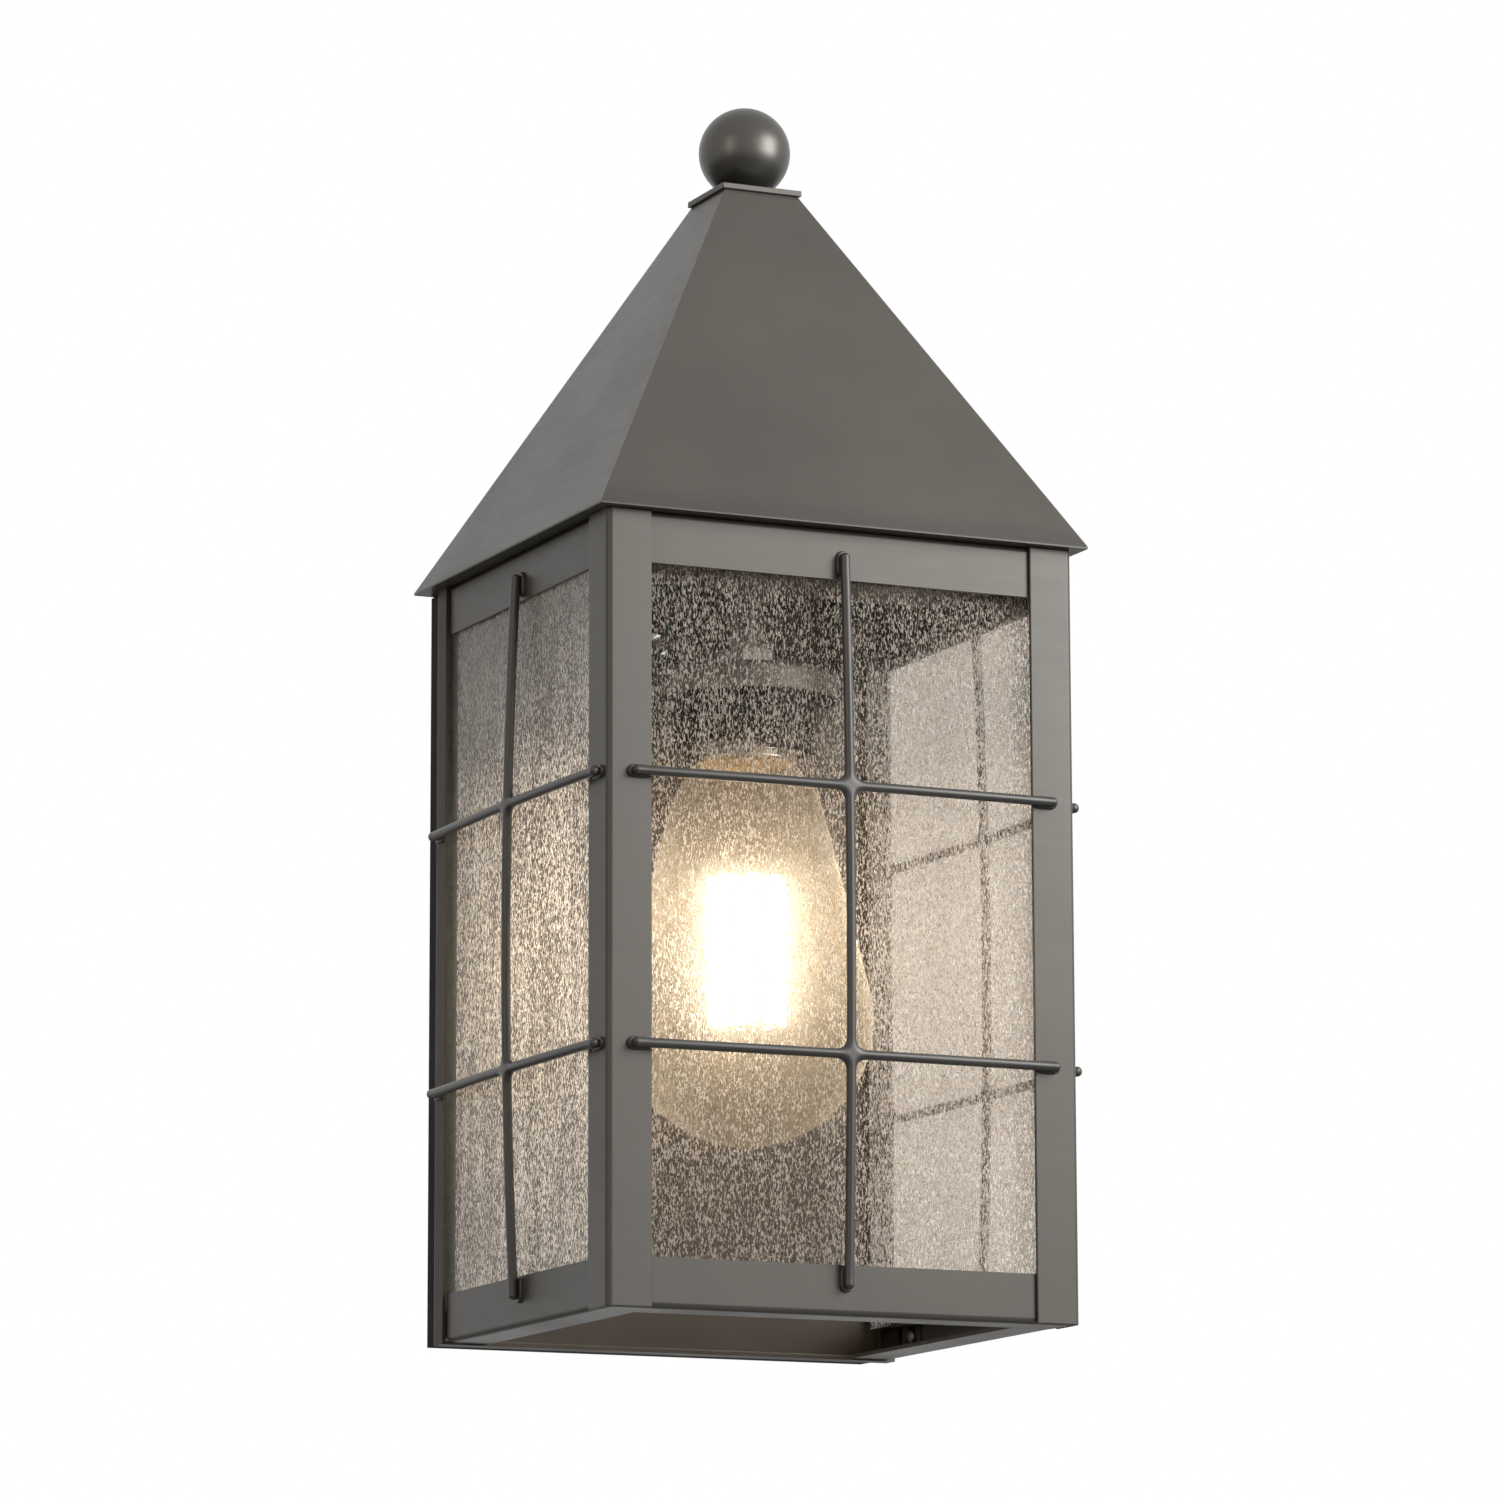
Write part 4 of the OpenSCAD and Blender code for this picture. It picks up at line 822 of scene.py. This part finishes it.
# Each screw was driven by hand, so the slots' turns, in radians, differ.
clip_places = []
for i, z in enumerate(CLIP_Z):
    for j, s in enumerate(SIDES):
        clip_places.append(((s * FRONT_CLIP_X, FRONT_CLIP_Y, z), (0, 1, 0), 0.4 + i + 0.7 * j))
        for k, y in enumerate(SIDE_CLIP_Y):
            turn = 0.9 * i + 1.3 * j + 0.5 * k
            clip_places.append(((s * SIDE_CLIP_X, y, z), (-s, 0, 0), turn))
cup_places = [((s * CUP_R, -AXIS, CUP_SCREW_Z), (s, 0, 0), 0.6 * s) for s in SIDES]
strap_places = [((s * STRAP_SCREW_X, -AXIS, STRAP_SCREW_Z), (0, 0, -1), 0.5 + s) for s in SIDES]
screws("pane_screws", "clip_screws", clip_places, head=(2.55, 1.6), back=(1.5, 1.4))
screws("cup_side_screws", "cup_screws", cup_places, head=(2.25, 1.6), back=(1.5, 6.9))
screws("strap_fixings", "strap_screws", strap_places, head=(3.4, 2.0), back=(2.0, 6.9))


# ---------------------------------------------------------------- panes

PANE_Z = (8.1, 186.7)


def pane(name, node, xs, ys, inner):
    """A pane that fills xs by ys, its patterned face inwards, with thin ground edges."""
    spans = (xs, ys, PANE_Z)
    bm = bmesh.new()
    bmesh.ops.create_cube(bm, size=1.0)
    for v in bm.verts:
        v.co = Vector([(low + high) / 2 + c * (high - low) for c, (low, high) in zip(v.co, spans)])
    bm.normal_update()
    for f in bm.faces:
        facing = f.normal.dot(Vector(inner))
        f.material_index = 1 if facing > 0.9 else 0 if facing < -0.9 else 2
    piece(name, bm, [PANE, SEEDED, GROUND], replaces=[node])


pane("pane_front", "glass_front", (-58.3, 58.3), (-117.9, -114.9), (0, 1, 0))
pane("pane_left", "glass_left", (-61.4, -58.4), (-117.9, -11.8), (1, 0, 0))
pane("pane_right", "glass_right", (58.4, 61.4), (-117.9, -11.8), (-1, 0, 0))


# ---------------------------------------------------------------- lamp glass

def bulb():
    """One smooth skin from the neck over the cone and the ball, as blown glass has."""
    centre, r = 79.5, 32.0
    neck_r, neck_z = 18.9, 136
    # The cone leaves the ball at this angle above its equator.
    tilt = math.degrees(math.asin((r - neck_r) / (neck_z - centre)))
    neck = [(12.5, 144.8), (13.6, 143.4), (15.4, 141.2), (17.0, 139.0), (18.2, 137.0),
            (19.1, 134.8), (20.0, 132.0)]
    bm = bmesh.new()
    lathe(bm, neck + arc(0, centre, r, tilt, -90, 40)[:-1] + [(0, centre - r)], 128)
    piece("lamp_globe", bm, [BULB], body="lamp",
          replaces=["bulb_glass"], sharp=80)


bulb()


# ---------------------------------------------------------------- floor, light and background

def floor():
    m = Mat("floor_pale")
    tone = m.ramp(m.noise(6, 3, 0.5), (0.3, (0.80, 0.80, 0.79)), (0.7, (0.83, 0.83, 0.82)))
    m.finish(m.shader("Principled", Base_Color=tone, Roughness=0.6))
    bm = bmesh.new()
    bmesh.ops.create_grid(bm, x_segments=2, y_segments=2, size=4.0)
    me = bpy.data.meshes.new("floor")
    bm.to_mesh(me)
    bm.free()
    me.materials.append(m.mat)
    ob = bpy.data.objects.new("floor", me)
    ob.location = (0, -0.5, -0.9)
    scene.collection.objects.link(ob)


def soft_box(name, azimuth, elevation, distance, width, height, power, colour=WHITE):
    """A soft box aimed at the lantern; its azimuth turns from the front towards the right."""
    a, e = math.radians(azimuth), math.radians(elevation)
    aim = Vector((0, -0.06, 0.05))
    way = Vector((math.sin(a) * math.cos(e), -math.cos(a) * math.cos(e), math.sin(e)))
    place = aim + way * distance
    data = bpy.data.lights.new(name, "AREA")
    data.shape, data.size, data.size_y = "RECTANGLE", width, height
    data.energy, data.color = power, colour
    ob = bpy.data.objects.new(name, data)
    ob.location = place
    ob.rotation_euler = (aim - place).to_track_quat("-Z", "Y").to_euler()
    scene.collection.objects.link(ob)


def background():
    """A faint fill that lights the lantern; white to the eye, in gloss and through glass."""
    world = bpy.data.worlds.new("world")
    scene.world = world
    world.use_nodes = True
    tree = world.node_tree
    tree.nodes.clear()
    path = tree.nodes.new("ShaderNodeLightPath").outputs
    seen = path["Is Camera Ray"]
    for ray in ("Is Glossy Ray", "Is Transmission Ray"):
        either = tree.nodes.new("ShaderNodeMath")
        either.operation = "MAXIMUM"
        tree.links.new(seen, either.inputs[0])
        tree.links.new(path[ray], either.inputs[1])
        seen = either.outputs[0]
    both = tree.nodes.new("ShaderNodeMixShader")
    tree.links.new(seen, both.inputs[0])
    for i, (colour, strength) in enumerate((((0.98, 0.99, 1.0), 0.06), (WHITE, 1.0))):
        sky = tree.nodes.new("ShaderNodeBackground")
        sky.inputs["Color"].default_value = (*colour, 1)
        sky.inputs["Strength"].default_value = strength
        tree.links.new(sky.outputs[0], both.inputs[i + 1])
    out = tree.nodes.new("ShaderNodeOutputWorld")
    tree.links.new(both.outputs[0], out.inputs["Surface"])


floor()
soft_box("key", azimuth=42, elevation=22, distance=0.8, width=0.4, height=0.5, power=6.6)
soft_box("front", azimuth=25, elevation=12, distance=1.8, width=0.9, height=0.9, power=9.0)
soft_box("left", azimuth=-62, elevation=16, distance=1.8, width=0.35, height=0.9, power=4.0,
         colour=(1.0, 0.84, 0.70))
background()
